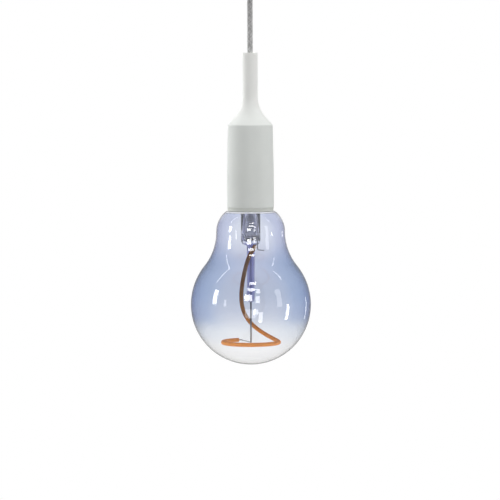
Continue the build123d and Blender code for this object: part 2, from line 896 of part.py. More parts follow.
tip_base = tip - tip_thickness
with BuildPart() as cap_insulator:
    add(
        turned(
            [
                (tip_stub_radius, cap_top - insulator_depth),
                (cap_top_radius, cap_top - insulator_depth),
                (cap_top_radius, cap_top),
                (tip_radius, tip_base),
                (tip_stub_radius, tip_base),
            ]
        )
    )

with BuildPart() as tip_contact:
    with BuildSketch(Plane.XY.offset(tip_base)):
        Circle(tip_radius)
    extrude(amount=tip_thickness)
    fillet(tip_contact.edges().group_by(Axis.Z)[-1], tip_edge)
    with BuildSketch(Plane.XY.offset(tip_base)):
        Circle(tip_stub_radius)
    extrude(amount=-tip_stub_length)

# Driver: a round board on the stem's flange, with its parts on top
with BuildPart() as driver_board:
    with BuildSketch(Plane.XY.offset(board_bottom)):
        Circle(board_radius)
        with Locations((lead_offset, 0)):
            Circle(lead_radius, mode=Mode.SUBTRACT)
        with Locations((-lead_offset, 0)):
            Circle(centre_wire_radius, mode=Mode.SUBTRACT)
    extrude(amount=board_thickness)

with BuildPart() as driver_capacitor:
    with BuildSketch(Plane.XY.offset(board_top)):
        with Locations(capacitor_place):
            Circle(capacitor_radius)
    extrude(amount=capacitor_height)
    fillet(driver_capacitor.edges().group_by(Axis.Z)[-1], capacitor_edge)

with BuildPart() as driver_rectifier:
    with BuildSketch(Plane.XY.offset(board_top)):
        with Locations(rectifier_place):
            Rectangle(rectifier_size[0], rectifier_size[1])
    extrude(amount=rectifier_size[2])

with BuildPart() as fuse_resistor:
    resistor_start = (resistor_place[0] - resistor_length / 2, resistor_place[1], board_top + resistor_radius)
    add(drilled(resistor_start, (1, 0, 0), resistor_radius, resistor_length))

# Jumper wires: from the board to the tip and to the shell
with BuildPart() as tip_wire:
    add(
        round_wire(
            [
                (*tip_wire_place, board_top),
                (*tip_wire_place, board_top + jumper_rise),
                (0, 0, board_top + 2 * jumper_rise),
                (0, 0, tip_base - tip_stub_length),
            ],
            jumper_radius,
            jumper_bend,
        )
    )

shell_wire_reach = (cap_bore - jumper_radius / 2) / hypot(*shell_wire_place)
with BuildPart() as shell_wire:
    add(
        round_wire(
            [
                (*shell_wire_place, board_top),
                (*shell_wire_place, board_top + jumper_rise),
                (
                    shell_wire_place[0] * shell_wire_reach,
                    shell_wire_place[1] * shell_wire_reach,
                    board_top + jumper_rise,
                ),
            ],
            jumper_radius,
            jumper_bend,
        )
    )

# Files: one for each piece
pieces = {
    "ceiling_strap": ceiling_strap,
    "ceiling_cup": ceiling_cup,
    "thumb_screws": thumb_screws,
    "cord_grip": cord_grip,
    "grip_nut": grip_nut,
    "grip_screw": grip_screw,
    "terminal_block": terminal_block,
    "block_barrels": block_barrels,
    "block_screws": block_screws,
    "live_tail": live_tail,
    "neutral_tail": neutral_tail,
    "cord": cord,
    "holder_sleeve": holder_sleeve,
    "socket_cap": socket_cap,
    "clamp_screw": clamp_screw,
    "live_terminal": live_terminal,
    "shell_terminal": shell_terminal,
    "terminal_screws": terminal_screws,
    "live_core": live_core,
    "neutral_core": neutral_core,
    "socket_insert": socket_insert,
    "socket_barrel": socket_barrel,
    "insert_screws": insert_screws,
    "screw_shell": screw_shell,
    "centre_contact": centre_contact,
    "contact_spring": contact_spring,
    "glass_envelope": glass_envelope,
    "glass_stem": glass_stem,
    "feed_lead": feed_lead,
    "centre_wire": centre_wire,
    "foot_wire": foot_wire,
    "led_filament": led_filament,
    "filament_tabs": filament_tabs,
    "cap_shell": cap_shell,
    "cap_cement": cap_cement,
    "cap_insulator": cap_insulator,
    "tip_contact": tip_contact,
    "driver_board": driver_board,
    "driver_capacitor": driver_capacitor,
    "driver_rectifier": driver_rectifier,
    "fuse_resistor": fuse_resistor,
    "tip_wire": tip_wire,
    "shell_wire": shell_wire,
}
os.makedirs("parts", exist_ok=True)
for name, piece in pieces.items():
    piece.part.label = name
    export_step(piece.part, f"parts/{name}.step")
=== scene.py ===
from math import acos, asin, cos, pi, radians, sin, tau

import bmesh
import bpy
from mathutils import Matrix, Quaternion, Vector


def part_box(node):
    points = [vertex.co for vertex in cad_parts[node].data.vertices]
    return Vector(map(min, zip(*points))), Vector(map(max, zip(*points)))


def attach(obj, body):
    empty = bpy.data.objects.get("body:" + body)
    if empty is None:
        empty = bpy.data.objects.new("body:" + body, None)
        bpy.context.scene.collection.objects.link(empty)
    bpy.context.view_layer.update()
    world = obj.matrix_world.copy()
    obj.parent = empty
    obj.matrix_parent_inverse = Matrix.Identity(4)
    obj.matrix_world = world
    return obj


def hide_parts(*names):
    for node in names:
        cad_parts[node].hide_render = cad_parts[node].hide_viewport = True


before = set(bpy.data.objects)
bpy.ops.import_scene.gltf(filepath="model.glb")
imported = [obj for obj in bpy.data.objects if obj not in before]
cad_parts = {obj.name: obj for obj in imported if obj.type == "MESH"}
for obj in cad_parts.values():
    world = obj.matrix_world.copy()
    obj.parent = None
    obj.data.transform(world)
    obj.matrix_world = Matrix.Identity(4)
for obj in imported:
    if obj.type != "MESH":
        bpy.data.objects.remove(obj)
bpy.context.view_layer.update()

# Lengths are metres, as in the frame, and mm stands for one millimetre.
mm = 0.001


# Ceiling strap and screws: a strip of zinc-plated steel, bent in a press and screwed to the ceiling.
# It carries the terminal block, and the cup's two thumb screws go into its turned-down ends.
def linear(code):
    """An sRGB hex colour as linear red, green, blue and alpha."""
    shares = [int(code[i:i + 2], 16) / 255 for i in (1, 3, 5)]
    return [s / 12.92 if s <= 0.04045 else ((s + 0.055) / 1.055) ** 2.4 for s in shares] + [1.0]


def add_node(tree, kind, settings, inputs):
    """A node with its settings, and its inputs set to values or linked from other nodes."""
    node = tree.nodes.new(kind)
    for name, value in settings.items():
        setattr(node, name, value)
    for name, value in inputs.items():
        if isinstance(value, bpy.types.NodeSocket):
            tree.links.new(value, node.inputs[name])
        else:
            node.inputs[name].default_value = value
    return node


def new_material(name):
    """A material of that name with an empty node tree."""
    material = bpy.data.materials.new(name)
    material.use_nodes = True
    material.node_tree.nodes.clear()
    return material


def mottled(name, pale, dark, patch, roughness, metallic=0.0, grain=0.5 * mm, relief=0.0):
    """A finish whose shade and gloss wander over patches, with a fine relief in its surface."""
    gloss_drift = 0.2
    material = new_material(name)
    tree = material.node_tree
    place = add_node(tree, "ShaderNodeTexCoord", {}, {}).outputs["Object"]
    cloud = add_node(tree, "ShaderNodeTexNoise", {}, {"Vector": place, "Scale": 1 / patch, "Detail": 4.0})
    shade = add_node(
        tree,
        "ShaderNodeMix",
        {"data_type": "RGBA"},
        {0: cloud.outputs[0], 6: linear(pale), 7: linear(dark)},
    )
    gloss = add_node(
        tree,
        "ShaderNodeMapRange",
        {},
        {0: cloud.outputs[0], 3: roughness * (1 - gloss_drift), 4: roughness * (1 + gloss_drift)},
    )
    fine = add_node(tree, "ShaderNodeTexNoise", {}, {"Vector": place, "Scale": 1 / grain, "Detail": 2.0})
    bump = add_node(
        tree, "ShaderNodeBump", {}, {"Height": fine.outputs[0], "Distance": relief, "Strength": 0.5}
    )
    shader = add_node(
        tree,
        "ShaderNodeBsdfPrincipled",
        {},
        {
            "Base Color": shade.outputs[2],
            "Metallic": metallic,
            "Roughness": gloss.outputs[0],
            "Normal": bump.outputs[0],
        },
    )
    add_node(tree, "ShaderNodeOutputMaterial", {}, {"Surface": shader.outputs[0]})
    return material


def coat(material, *nodes):
    """These carried-over pieces get the material."""
    for name in nodes:
        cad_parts[name].material_slots[0].material = material


# Zinc plate is a bright blue-grey with faint cloudy patches from the plating bath.
zinc_plated_steel = mottled(
    "zinc_plated_steel", "#D3D6D8", "#B9BDC0", patch=4 * mm, roughness=0.3, metallic=1.0, relief=0.01 * mm
)
coat(zinc_plated_steel, "ceiling_strap", "thumb_screws", "block_screws", "terminal_screws", "insert_screws")


# Ceiling cup: deep-drawn sheet steel, open at the ceiling, with white stoved enamel.
# Enamel is smooth and bright, with the faint ripple of a sprayed and baked coat.
white_enamel = mottled(
    "white_enamel", "#F0F0ED", "#E9E9E6", patch=12 * mm, roughness=0.3, grain=1.5 * mm, relief=0.02 * mm
)
coat(white_enamel, "ceiling_cup")


# Cord grip, nut and set screws: moulded nylon, screwed into the cup's floor and the socket's nipple.
# Nylon is a waxy off-white with a soft sheen and the grain of a spark-eroded mould.
white_nylon = mottled(
    "white_nylon", "#ECECE6", "#E2E2DC", patch=6 * mm, roughness=0.45, grain=0.4 * mm, relief=0.03 * mm
)
coat(white_nylon, "cord_grip", "grip_nut", "grip_screw", "clamp_screw")


# Terminal block: natural nylon with a turned brass barrel for each core of the cord.
# Unfilled nylon is ivory and a little uneven, and the brass has the dull shine of a turned bar.
natural_nylon = mottled(
    "natural_nylon", "#E9E4D4", "#DDD7C4", patch=5 * mm, roughness=0.42, relief=0.02 * mm
)
coat(natural_nylon, "terminal_block")
bare_brass = mottled(
    "bare_brass", "#D6B36A", "#B8914C", patch=3 * mm, roughness=0.28, metallic=1.0, relief=0.008 * mm
)
coat(bare_brass, "block_barrels", "live_terminal", "shell_terminal", "centre_contact", "tip_contact")


# Cores: two stranded wires in extruded vinyl, brown for live and blue for neutral, which part where
# the cord ends and are clamped in the terminals. Vinyl sheath is smooth and a little glossy.
brown_sheath = mottled("brown_vinyl_sheath", "#6B3F25", "#59331D", patch=8 * mm, roughness=0.35)
coat(brown_sheath, "live_tail", "live_core")
blue_sheath = mottled("blue_vinyl_sheath", "#2F63B4", "#27559E", patch=8 * mm, roughness=0.35)
coat(blue_sheath, "neutral_tail", "neutral_core")


# Cord: two cores under a braid of grey yarn, which hangs taut from the grip to the socket's clamp.
# The braid is plain: each yarn passes over one and under one of those that wind the other way.
cord_diameter = 5.5 * mm
cord_route = [(0, 0, -26 * mm), (0, 0, -52 * mm), (0, 0, -117 * mm), (0, 0, -177 * mm)]
yarns_each_way = 10
yarn_width = 1.25 * mm
yarn_thickness = 0.46 * mm
yarn_rise = 0.12 * mm
braid_lay = 15.5 * mm
steps_per_crossing = 3
yarn_seed = 7
fibre_grain = 0.7 * mm
fibre_relief = 0.1 * mm

route_curve = bpy.data.curves.new("cord_route", "CURVE")
route_curve.dimensions = "3D"
route_spline = route_curve.splines.new("NURBS")
route_spline.points.add(len(cord_route) - 1)
for point, place in zip(route_spline.points, cord_route):
    point.co = (*place, 1)
route_spline.order_u = 3
route_spline.use_endpoint_u = True
route_object = bpy.data.objects.new("cord_route", route_curve)
bpy.context.scene.collection.objects.link(route_object)
route_mesh = bpy.data.meshes.new_from_object(
    route_object.evaluated_get(bpy.context.evaluated_depsgraph_get())
)
cord_path = [vertex.co.copy() for vertex in route_mesh.vertices]
bpy.data.objects.remove(route_object)
cord_length = sum((b - a).length for a, b in zip(cord_path, cord_path[1:]))


def new_tree(name, sockets):
    """A geometry tree with a geometry input and output and the named inputs that are given."""
    tree = bpy.data.node_groups.new(name, "GeometryNodeTree")
    tree.interface.new_socket("Geometry", in_out="INPUT", socket_type="NodeSocketGeometry")
    for socket, kind in sockets.items():
        tree.interface.new_socket(socket, in_out="INPUT", socket_type=kind)
    tree.interface.new_socket("Geometry", in_out="OUTPUT", socket_type="NodeSocketGeometry")
    return tree


def grown(tree, mesh, values):
    """The plain mesh that a geometry tree makes of a mesh, with these values for its named inputs."""
    base = bpy.data.objects.new(tree.name, mesh)
    bpy.context.scene.collection.objects.link(base)
    modifier = base.modifiers.new(tree.name, "NODES")
    modifier.node_group = tree
    for socket in tree.interface.items_tree:
        if socket.in_out == "INPUT" and socket.name in values:
            modifier[socket.identifier] = values[socket.name]
    result = bpy.data.meshes.new_from_object(base.evaluated_get(bpy.context.evaluated_depsgraph_get()))
    bpy.data.objects.remove(base)
    return result


def polyline(name, points, swells=None):
    """A mesh of edges through the points, which keeps how far a strand swells at each of them."""
    mesh = bpy.data.meshes.new(name)
    mesh.from_pydata(points, [(i, i + 1) for i in range(len(points) - 1)], [])
    mesh.attributes.new("swell", "FLOAT", "POINT").data.foreach_set("value", swells or [1.0] * len(points))
    return mesh


def show(name, mesh):
    """An object at the origin that shows the mesh."""
    mesh.name = name
    piece = bpy.data.objects.new(name, mesh)
    bpy.context.scene.collection.objects.link(piece)
    return piece


# The strand tree sweeps an oval section along a polyline and turns copies of it round the Z axis.
# The section is a circle of diameter 1, stretched to the strand's thickness and width.
strand_tree = new_tree(
    "strand",
    {
        "Thickness": "NodeSocketFloat",
        "Width": "NodeSocketFloat",
        "Sides": "NodeSocketInt",
        "Copies": "NodeSocketInt",
        "Material": "NodeSocketMaterial",
    },
)
given = add_node(strand_tree, "NodeGroupInput", {}, {})
line = add_node(strand_tree, "GeometryNodeMeshToCurve", {}, {"Mesh": given.outputs["Geometry"]})
level = add_node(strand_tree, "GeometryNodeSetCurveNormal", {"mode": "Z_UP"}, {"Curve": line.outputs[0]})
swell = add_node(strand_tree, "GeometryNodeInputNamedAttribute", {"data_type": "FLOAT"}, {"Name": "swell"})
ring = add_node(
    strand_tree,
    "GeometryNodeCurvePrimitiveCircle",
    {},
    {"Resolution": given.outputs["Sides"], "Radius": 0.5},
)
oval_size = add_node(
    strand_tree,
    "ShaderNodeCombineXYZ",
    {},
    {"X": given.outputs["Thickness"], "Y": given.outputs["Width"], "Z": 1.0},
)
oval = add_node(
    strand_tree,
    "GeometryNodeTransform",
    {},
    {"Geometry": ring.outputs[0], "Scale": oval_size.outputs[0]},
)
swept = add_node(
    strand_tree,
    "GeometryNodeCurveToMesh",
    {},
    {
        "Curve": level.outputs[0],
        "Profile Curve": oval.outputs[0],
        "Scale": swell.outputs[0],
        "Fill Caps": True,
    },
)
soft = add_node(strand_tree, "GeometryNodeSetShadeSmooth", {}, {"Geometry": swept.outputs[0]})
seats = add_node(strand_tree, "GeometryNodePoints", {}, {"Count": given.outputs["Copies"]})
number = add_node(strand_tree, "GeometryNodeInputIndex", {}, {})
turn_step = add_node(
    strand_tree, "ShaderNodeMath", {"operation": "DIVIDE"}, {0: tau, 1: given.outputs["Copies"]}
)
turn = add_node(
    strand_tree,
    "ShaderNodeMath",
    {"operation": "MULTIPLY"},
    {0: number.outputs[0], 1: turn_step.outputs[0]},
)
turn_way = add_node(strand_tree, "ShaderNodeCombineXYZ", {}, {"Z": turn.outputs[0]})
copies = add_node(
    strand_tree,
    "GeometryNodeInstanceOnPoints",
    {},
    {"Points": seats.outputs[0], "Instance": soft.outputs[0], "Rotation": turn_way.outputs[0]},
)
shade_draw = add_node(strand_tree, "FunctionNodeRandomValue", {"data_type": "FLOAT"}, {"Seed": yarn_seed})
marked = add_node(
    strand_tree,
    "GeometryNodeStoreNamedAttribute",
    {"data_type": "FLOAT", "domain": "INSTANCE"},
    {"Geometry": copies.outputs[0], "Name": "yarn_shade", "Value": shade_draw.outputs[1]},
)
plain = add_node(strand_tree, "GeometryNodeRealizeInstances", {}, {"Geometry": marked.outputs[0]})
dressed = add_node(
    strand_tree,
    "GeometryNodeSetMaterial",
    {},
    {"Geometry": plain.outputs[0], "Material": given.outputs["Material"]},
)
add_node(strand_tree, "NodeGroupOutput", {}, {"Geometry": dressed.outputs[0]})

# Cotton yarn is dull and fibrous. Each yarn has its own shade of grey, and fine fibres run along it.
grey_braid = new_material("grey_cotton_braid")
tree = grey_braid.node_tree
yarn_shade = add_node(tree, "ShaderNodeAttribute", {"attribute_name": "yarn_shade"}, {})
yarn_place = add_node(tree, "ShaderNodeTexCoord", {}, {}).outputs["Object"]
fibre = add_node(
    tree, "ShaderNodeTexNoise", {}, {"Vector": yarn_place, "Scale": 1 / fibre_grain, "Detail": 3.0}
)
yarn_colour = add_node(
    tree,
    "ShaderNodeMix",
    {"data_type": "RGBA"},
    {0: yarn_shade.outputs["Fac"], 6: linear("#ABA8A4"), 7: linear("#D6D2CC")},
)
fibre_colour = add_node(
    tree,
    "ShaderNodeMix",
    {"data_type": "RGBA", "blend_type": "OVERLAY"},
    {0: 0.5, 6: yarn_colour.outputs[2], 7: fibre.outputs["Color"]},
)
fibre_grey = add_node(
    tree, "ShaderNodeHueSaturation", {}, {"Saturation": 0.0, "Color": fibre_colour.outputs[2]}
)
fibre_bump = add_node(
    tree, "ShaderNodeBump", {}, {"Height": fibre.outputs[0], "Distance": fibre_relief, "Strength": 0.7}
)
shader = add_node(
    tree,
    "ShaderNodeBsdfPrincipled",
    {},
    {
        "Base Color": fibre_grey.outputs[0],
        "Roughness": 0.9,
        "Sheen Weight": 0.25,
        "Normal": fibre_bump.outputs[0],
    },
)
add_node(tree, "ShaderNodeOutputMaterial", {}, {"Surface": shader.outputs[0]})


def cord_point(share):
    """The point at this share of the way along the cord's line."""
    place = share * (len(cord_path) - 1)
    before = min(int(place), len(cord_path) - 2)
    return cord_path[before].lerp(cord_path[before + 1], place - before)


crossings = 2 * yarns_each_way * cord_length / braid_lay
yarn_steps = round(crossings * steps_per_crossing)
braid_radius = cord_diameter / 2 - yarn_thickness / 2 - yarn_rise
braid = bmesh.new()
for hand in (1, -1):
    yarn_points = []
    for i in range(yarn_steps + 1):
        along = i / yarn_steps
        angle = tau * along * cord_length / braid_lay
        reach = braid_radius + hand * yarn_rise * cos(yarns_each_way * angle)
        yarn_points.append(cord_point(along) + Vector((reach * cos(angle), hand * reach * sin(angle), 0)))
    yarns = grown(
        strand_tree,
        polyline("yarn", yarn_points),
        {
            "Thickness": yarn_thickness,
            "Width": yarn_width,
            "Sides": 6,
            "Copies": yarns_each_way,
            "Material": grey_braid,
        },
    )
    braid.from_mesh(yarns)

# The filling stands for the two cores, and closes the gaps between the yarns.
filling = grown(
    strand_tree,
    polyline("filling", cord_path),
    {
        "Thickness": 2 * braid_radius,
        "Width": 2 * braid_radius,
        "Sides": 24,
        "Copies": 1,
        "Material": grey_braid,
    },
)
braid.from_mesh(filling)
braid_mesh = bpy.data.meshes.new("textile_cord")
braid.to_mesh(braid_mesh)
braid.free()
braid_mesh.materials.append(grey_braid)
textile_cord = show("textile_cord", braid_mesh)
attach(textile_cord, "holder")
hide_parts("cord")


# Holder sleeve: one soft moulding of white silicone, stretched over the socket and round the cord.
# Silicone is dead matt and a little cool in tone, with faint dust and cloudiness. Its thin neck is
# painted paler, a painted light for the brighter light near its top, and its rolled lip is painted
# greyer, a painted shade where it tucks in and faces down.
sleeve_low, sleeve_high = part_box("holder_sleeve")
lip_height = 3.8 * mm
lip_fade = 0.6 * mm
neck_height = 80 * mm
bloom_patch = 18 * mm
mould_grain = 0.35 * mm
mould_relief = 0.02 * mm
white_silicone = new_material("white_silicone")
tree = white_silicone.node_tree
skin_place = add_node(tree, "ShaderNodeTexCoord", {}, {}).outputs["Object"]
bloom = add_node(
    tree, "ShaderNodeTexNoise", {}, {"Vector": skin_place, "Scale": 1 / bloom_patch, "Detail": 5.0}
)
skin_colour = add_node(
    tree,
    "ShaderNodeMix",
    {"data_type": "RGBA"},
    {0: bloom.outputs[0], 6: linear("#DDE1DE"), 7: linear("#E5E8E5")},
)
skin_height = add_node(tree, "ShaderNodeSeparateXYZ", {}, {0: skin_place}).outputs["Z"]
# Painted light: the sleeve's colour turns paler up its neck.
painted_neck_light_share = add_node(
    tree,
    "ShaderNodeMapRange",
    {"interpolation_type": "SMOOTHSTEP"},
    {0: skin_height, 1: sleeve_high.z - neck_height, 2: sleeve_high.z - neck_height / 2},
)
painted_neck_light_colour = add_node(
    tree,
    "ShaderNodeMix",
    {"data_type": "RGBA"},
    {0: painted_neck_light_share.outputs[0], 6: skin_colour.outputs[2], 7: linear("#F2F3F0")},
)
# Painted shade: the band of the lip below its top is made greyer.
painted_lip_shade_share = add_node(
    tree,
    "ShaderNodeMapRange",
    {},
    {0: skin_height, 1: sleeve_low.z + lip_height, 2: sleeve_low.z + lip_height - lip_fade},
)
painted_lip_shade_colour = add_node(
    tree,
    "ShaderNodeMix",
    {"data_type": "RGBA"},
    {0: painted_lip_shade_share.outputs[0], 6: painted_neck_light_colour.outputs[2], 7: linear("#D3D6D0")},
)
skin_grain = add_node(
    tree, "ShaderNodeTexNoise", {}, {"Vector": skin_place, "Scale": 1 / mould_grain, "Detail": 2.0}
)
skin_bump = add_node(
    tree, "ShaderNodeBump", {}, {"Height": skin_grain.outputs[0], "Distance": mould_relief, "Strength": 0.4}
)
shader = add_node(
    tree,
    "ShaderNodeBsdfPrincipled",
    {},
    {
        "Base Color": painted_lip_shade_colour.outputs[2],
        "Roughness": 0.62,
        "IOR": 1.41,
        "Normal": skin_bump.outputs[0],
    },
)
add_node(tree, "ShaderNodeOutputMaterial", {}, {"Surface": shader.outputs[0]})
coat(white_silicone, "holder_sleeve")


# Lamp socket: two moulded halves and a pressed ceramic insert, hidden in the sleeve.
# The plastic is a hard white polyester, and the ceramic is bare steatite, chalky and cream.
white_polyester = mottled(
    "white_polyester", "#E8E8E3", "#DEDED9", patch=7 * mm, roughness=0.38, relief=0.02 * mm
)
coat(white_polyester, "socket_cap", "socket_barrel")
steatite = mottled(
    "steatite_ceramic", "#EDE7D8", "#DDD5C2", patch=2 * mm, roughness=0.62, grain=0.3 * mm, relief=0.05 * mm
)
coat(steatite, "socket_insert")


# Screw shell and cap shell: thin brass, rolled to a round thread of coarse pitch and nickel plated.
# The two threads run side by side with a small gap, so the bulb can be turned out of its holder.
# Nickel plate is a bright, slightly warm grey, with the soft gloss of rolled sheet.
thread_pitch = 3.629 * mm
thread_mean = 12.65 * mm
thread_depth = 1.1 * mm
thread_gap = 0.3 * mm
thread_fade = 1.6 * mm
sheet_wall = 0.3 * mm
cap_low, cap_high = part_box("cap_shell")
shell_low, shell_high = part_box("screw_shell")
cap_top_radius = 7.6 * mm
cap_top_rise = 2.4 * mm
cap_shoulder = cap_high.z - cap_top_rise
columns = 96
row_step = 0.22 * mm


def lathe(name, rings, closed):
    """A mesh through rings of points, joined end to end if it is closed."""
    work = bmesh.new()
    loops = [[work.verts.new(point) for point in points] for points in rings]
    pairs = list(zip(loops, loops[1:]))
    if closed:
        pairs.append((loops[-1], loops[0]))
    for lower, upper in pairs:
        for i in range(max(len(lower), len(upper))):
            corners = [lower[i % len(lower)], lower[(i + 1) % len(lower)]]
            corners += [upper[(i + 1) % len(upper)], upper[i % len(upper)]]
            work.faces.new(dict.fromkeys(corners))
    bmesh.ops.recalc_face_normals(work, faces=work.faces)
    mesh = bpy.data.meshes.new(name)
    work.to_mesh(mesh)
    work.free()
    mesh.shade_smooth()
    return mesh


def thread_rise(angle, height, bottom, top):
    """How far the thread stands out of its mean radius. It fades away at both ends."""
    crest = cos(tau * height / thread_pitch - angle)
    fade = min(max((height - bottom) / thread_fade, 0), max((top - height) / thread_fade, 0), 1)
    return thread_depth / 2 * (1 - fade + crest * fade)


def thread_rings(bottom, top, offset):
    """Rings of points up a rolled thread, moved out from it by the offset."""
    rings = []
    row_count = round((top - bottom) / row_step)
    for row in range(row_count + 1):
        height = bottom + (top - bottom) * row / row_count
        points = []
        for i in range(columns):
            angle = tau * i / columns
            reach = thread_mean + thread_rise(angle, height, bottom, top) + offset
            points.append((reach * cos(angle), reach * sin(angle), height))
        rings.append(points)
    return rings


def turned_rings(outline, count):
    """Rings of points for an outline turned round the axis."""
    steps = [tau * i / count for i in range(count)]
    return [[(r * cos(angle), r * sin(angle), z) for angle in steps] for r, z in outline]


nickel_finish = {"patch": 5 * mm, "roughness": 0.24, "metallic": 1.0, "relief": 0.01 * mm}
nickel_plate = mottled("nickel_plated_brass", "#DAD6CC", "#C3BEB2", **nickel_finish)
cap_top = [(cap_top_radius, cap_high.z), (cap_top_radius, cap_high.z - sheet_wall)]
cap_rings = thread_rings(cap_low.z, cap_shoulder, 0)
cap_rings += turned_rings(cap_top, columns)
cap_rings += reversed(thread_rings(cap_low.z, cap_shoulder, -sheet_wall))
threaded_cap = show("threaded_cap", lathe("threaded_cap", cap_rings, True))
threaded_cap.data.materials.append(nickel_plate)
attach(threaded_cap, "bulb")
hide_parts("cap_shell")

shell_rings = thread_rings(shell_low.z, shell_high.z, thread_gap)
shell_rings += reversed(thread_rings(shell_low.z, shell_high.z, thread_gap + sheet_wall))
threaded_shell = show("threaded_shell", lathe("threaded_shell", shell_rings, True))
threaded_shell.data.materials.append(nickel_plate)
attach(threaded_shell, "holder")
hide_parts("screw_shell")


# Contact spring: drawn steel wire, wound cold. It bears on the live terminal and pushes the turned
# brass contact onto the bulb's tip. Spring steel is a cool grey with a soft shine.
spring_steel = mottled("spring_steel", "#B4B6B8", "#9A9CA0", patch=1.5 * mm, roughness=0.28, metallic=1.0)
coat(spring_steel, "contact_spring")


# Cap filling: baked cement holds the cap on the glass neck, and pressed black glass insulates its tip.
# The cement is sandy and dull, and the black glass is smooth and bright.
cap_cement = mottled(
    "baked_cement", "#A99C84", "#8B7F69", patch=1.2 * mm, roughness=0.85, grain=0.4 * mm, relief=0.1 * mm
)
coat(cap_cement, "cap_cement")
black_glass = mottled("black_cap_glass", "#141416", "#1D1D20", patch=5 * mm, roughness=0.12)
coat(black_glass, "cap_insulator")


# Driver: a round laminate board on the stem's flange, with a capacitor, a rectifier and a fuse resistor.
# The laminate has a green lacquer and the resistor a blue one, smooth and half glossy. The other two
# are moulded in dull black epoxy.
green_board = mottled("green_laminate", "#2F6B43", "#285C3A", patch=3 * mm, roughness=0.35)
coat(green_board, "driver_board")
black_epoxy = mottled("black_epoxy", "#202022", "#2A2A2C", patch=2 * mm, roughness=0.5, relief=0.02 * mm)
coat(black_epoxy, "driver_capacitor", "driver_rectifier")
resistor_lacquer = mottled("blue_lacquer", "#6FA3B8", "#5F93AA", patch=2 * mm, roughness=0.3)
coat(resistor_lacquer, "fuse_resistor")


# Bulb glass: blown in one piece, a flat crown, a hollow waist and a round belly. A blue lacquer is
# sprayed on from the top and fades out below the belly, so the bottom of the bulb is clear.
glass_low, glass_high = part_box("glass_envelope")
belly_radius = glass_high.x
belly_arc = 62.1 * mm
waist_arc = 54.8 * mm
waist_radius = 34.3 * mm
crown_height = 20.5 * mm
crown_arc = 26 * mm
crown_edge = 2.5 * mm
inner_crown_edge = 4 * mm
rim_height = 1.6 * mm
rim_fade = 0.6 * mm
neck_radius = 11.3 * mm
neck_fillet = 5 * mm
glass_wall = 1.0 * mm
belly = glass_low.z + belly_radius
belly_centre = belly_radius - belly_arc
waist_centre = waist_radius + waist_arc
meeting_angle = acos((waist_centre - belly_centre) / (waist_arc + belly_arc))
waist = belly + (waist_arc + belly_arc) * sin(meeting_angle)
crown = waist + crown_height
crown_arc_place = waist_radius - crown_arc
arc_step = radians(2.0)
glass_columns = 128


def arc(centre, radius, start, sweep):
    """Points along an arc in the plane of radius and height."""
    count = max(2, round(abs(sweep) / arc_step))
    angles = [start + sweep * i / count for i in range(count + 1)]
    return [(centre[0] + radius * cos(angle), centre[1] + radius * sin(angle)) for angle in angles]


def bell_outline(inset, edge):
    """The bell's outline from the top of the neck to the bottom, drawn in by the inset.
    The edge is how far the crown's corner is rounded."""
    crown_angle = asin((crown_height - inset - edge) / (crown_arc - inset - edge))
    edge_place = crown_arc_place + (crown_arc - inset - edge) * cos(crown_angle)
    points = [(neck_radius - inset, glass_high.z)]
    points += arc((neck_radius + neck_fillet, crown + neck_fillet), neck_fillet + inset, pi, pi / 2)
    points += arc((edge_place, crown - inset - edge), edge, pi / 2, crown_angle - pi / 2)
    points += arc((crown_arc_place, waist), crown_arc - inset, crown_angle, -crown_angle)[1:]
    points += arc((waist_centre, waist), waist_arc + inset, pi, meeting_angle)[1:]
    points += arc((belly_centre, belly), belly_arc - inset, meeting_angle, -meeting_angle)[1:]
    points += arc((0, belly), belly_radius - inset, 0, -pi / 2)[1:-1]
    return points


bell_rings = [[(0, 0, glass_low.z)]]
bell_rings += turned_rings(reversed(bell_outline(0, crown_edge)), glass_columns)
bell_rings += turned_rings(bell_outline(glass_wall, inner_crown_edge), glass_columns)
bell_rings += [[(0, 0, glass_low.z + glass_wall)]]
blown_bell = show("blown_bell", lathe("blown_bell", bell_rings, False))

# Lacquered glass keeps its gloss. The lacquer looks deeper where the wall is seen at a slant, and it
# dims the light that falls on what is inside. The rim of the crown is painted a milky white, a painted
# highlight along its edge.
lacquer_patch = 30 * mm
lacquer_drift = 6 * mm
lacquer_foot = -395 * mm
lacquer_full = -378 * mm
lacquer_coats = 9.5
slant_start = 0.06
slant_full = 0.34
edge_power = 3.0
painted_rim_clearness = 0.2
blue_glass = new_material("blue_lacquered_glass")
tree = blue_glass.node_tree
glass_place = add_node(tree, "ShaderNodeTexCoord", {}, {}).outputs["Object"]
height = add_node(tree, "ShaderNodeSeparateXYZ", {}, {0: glass_place}).outputs["Z"]
drift = add_node(
    tree, "ShaderNodeTexNoise", {}, {"Vector": glass_place, "Scale": 1 / lacquer_patch, "Detail": 2.0}
)
drifted = add_node(
    tree,
    "ShaderNodeMath",
    {"operation": "MULTIPLY_ADD"},
    {0: drift.outputs[0], 1: lacquer_drift, 2: height},
)
share = add_node(tree, "ShaderNodeMapRange", {}, {0: drifted.outputs[0], 1: glass_low.z, 2: crown})

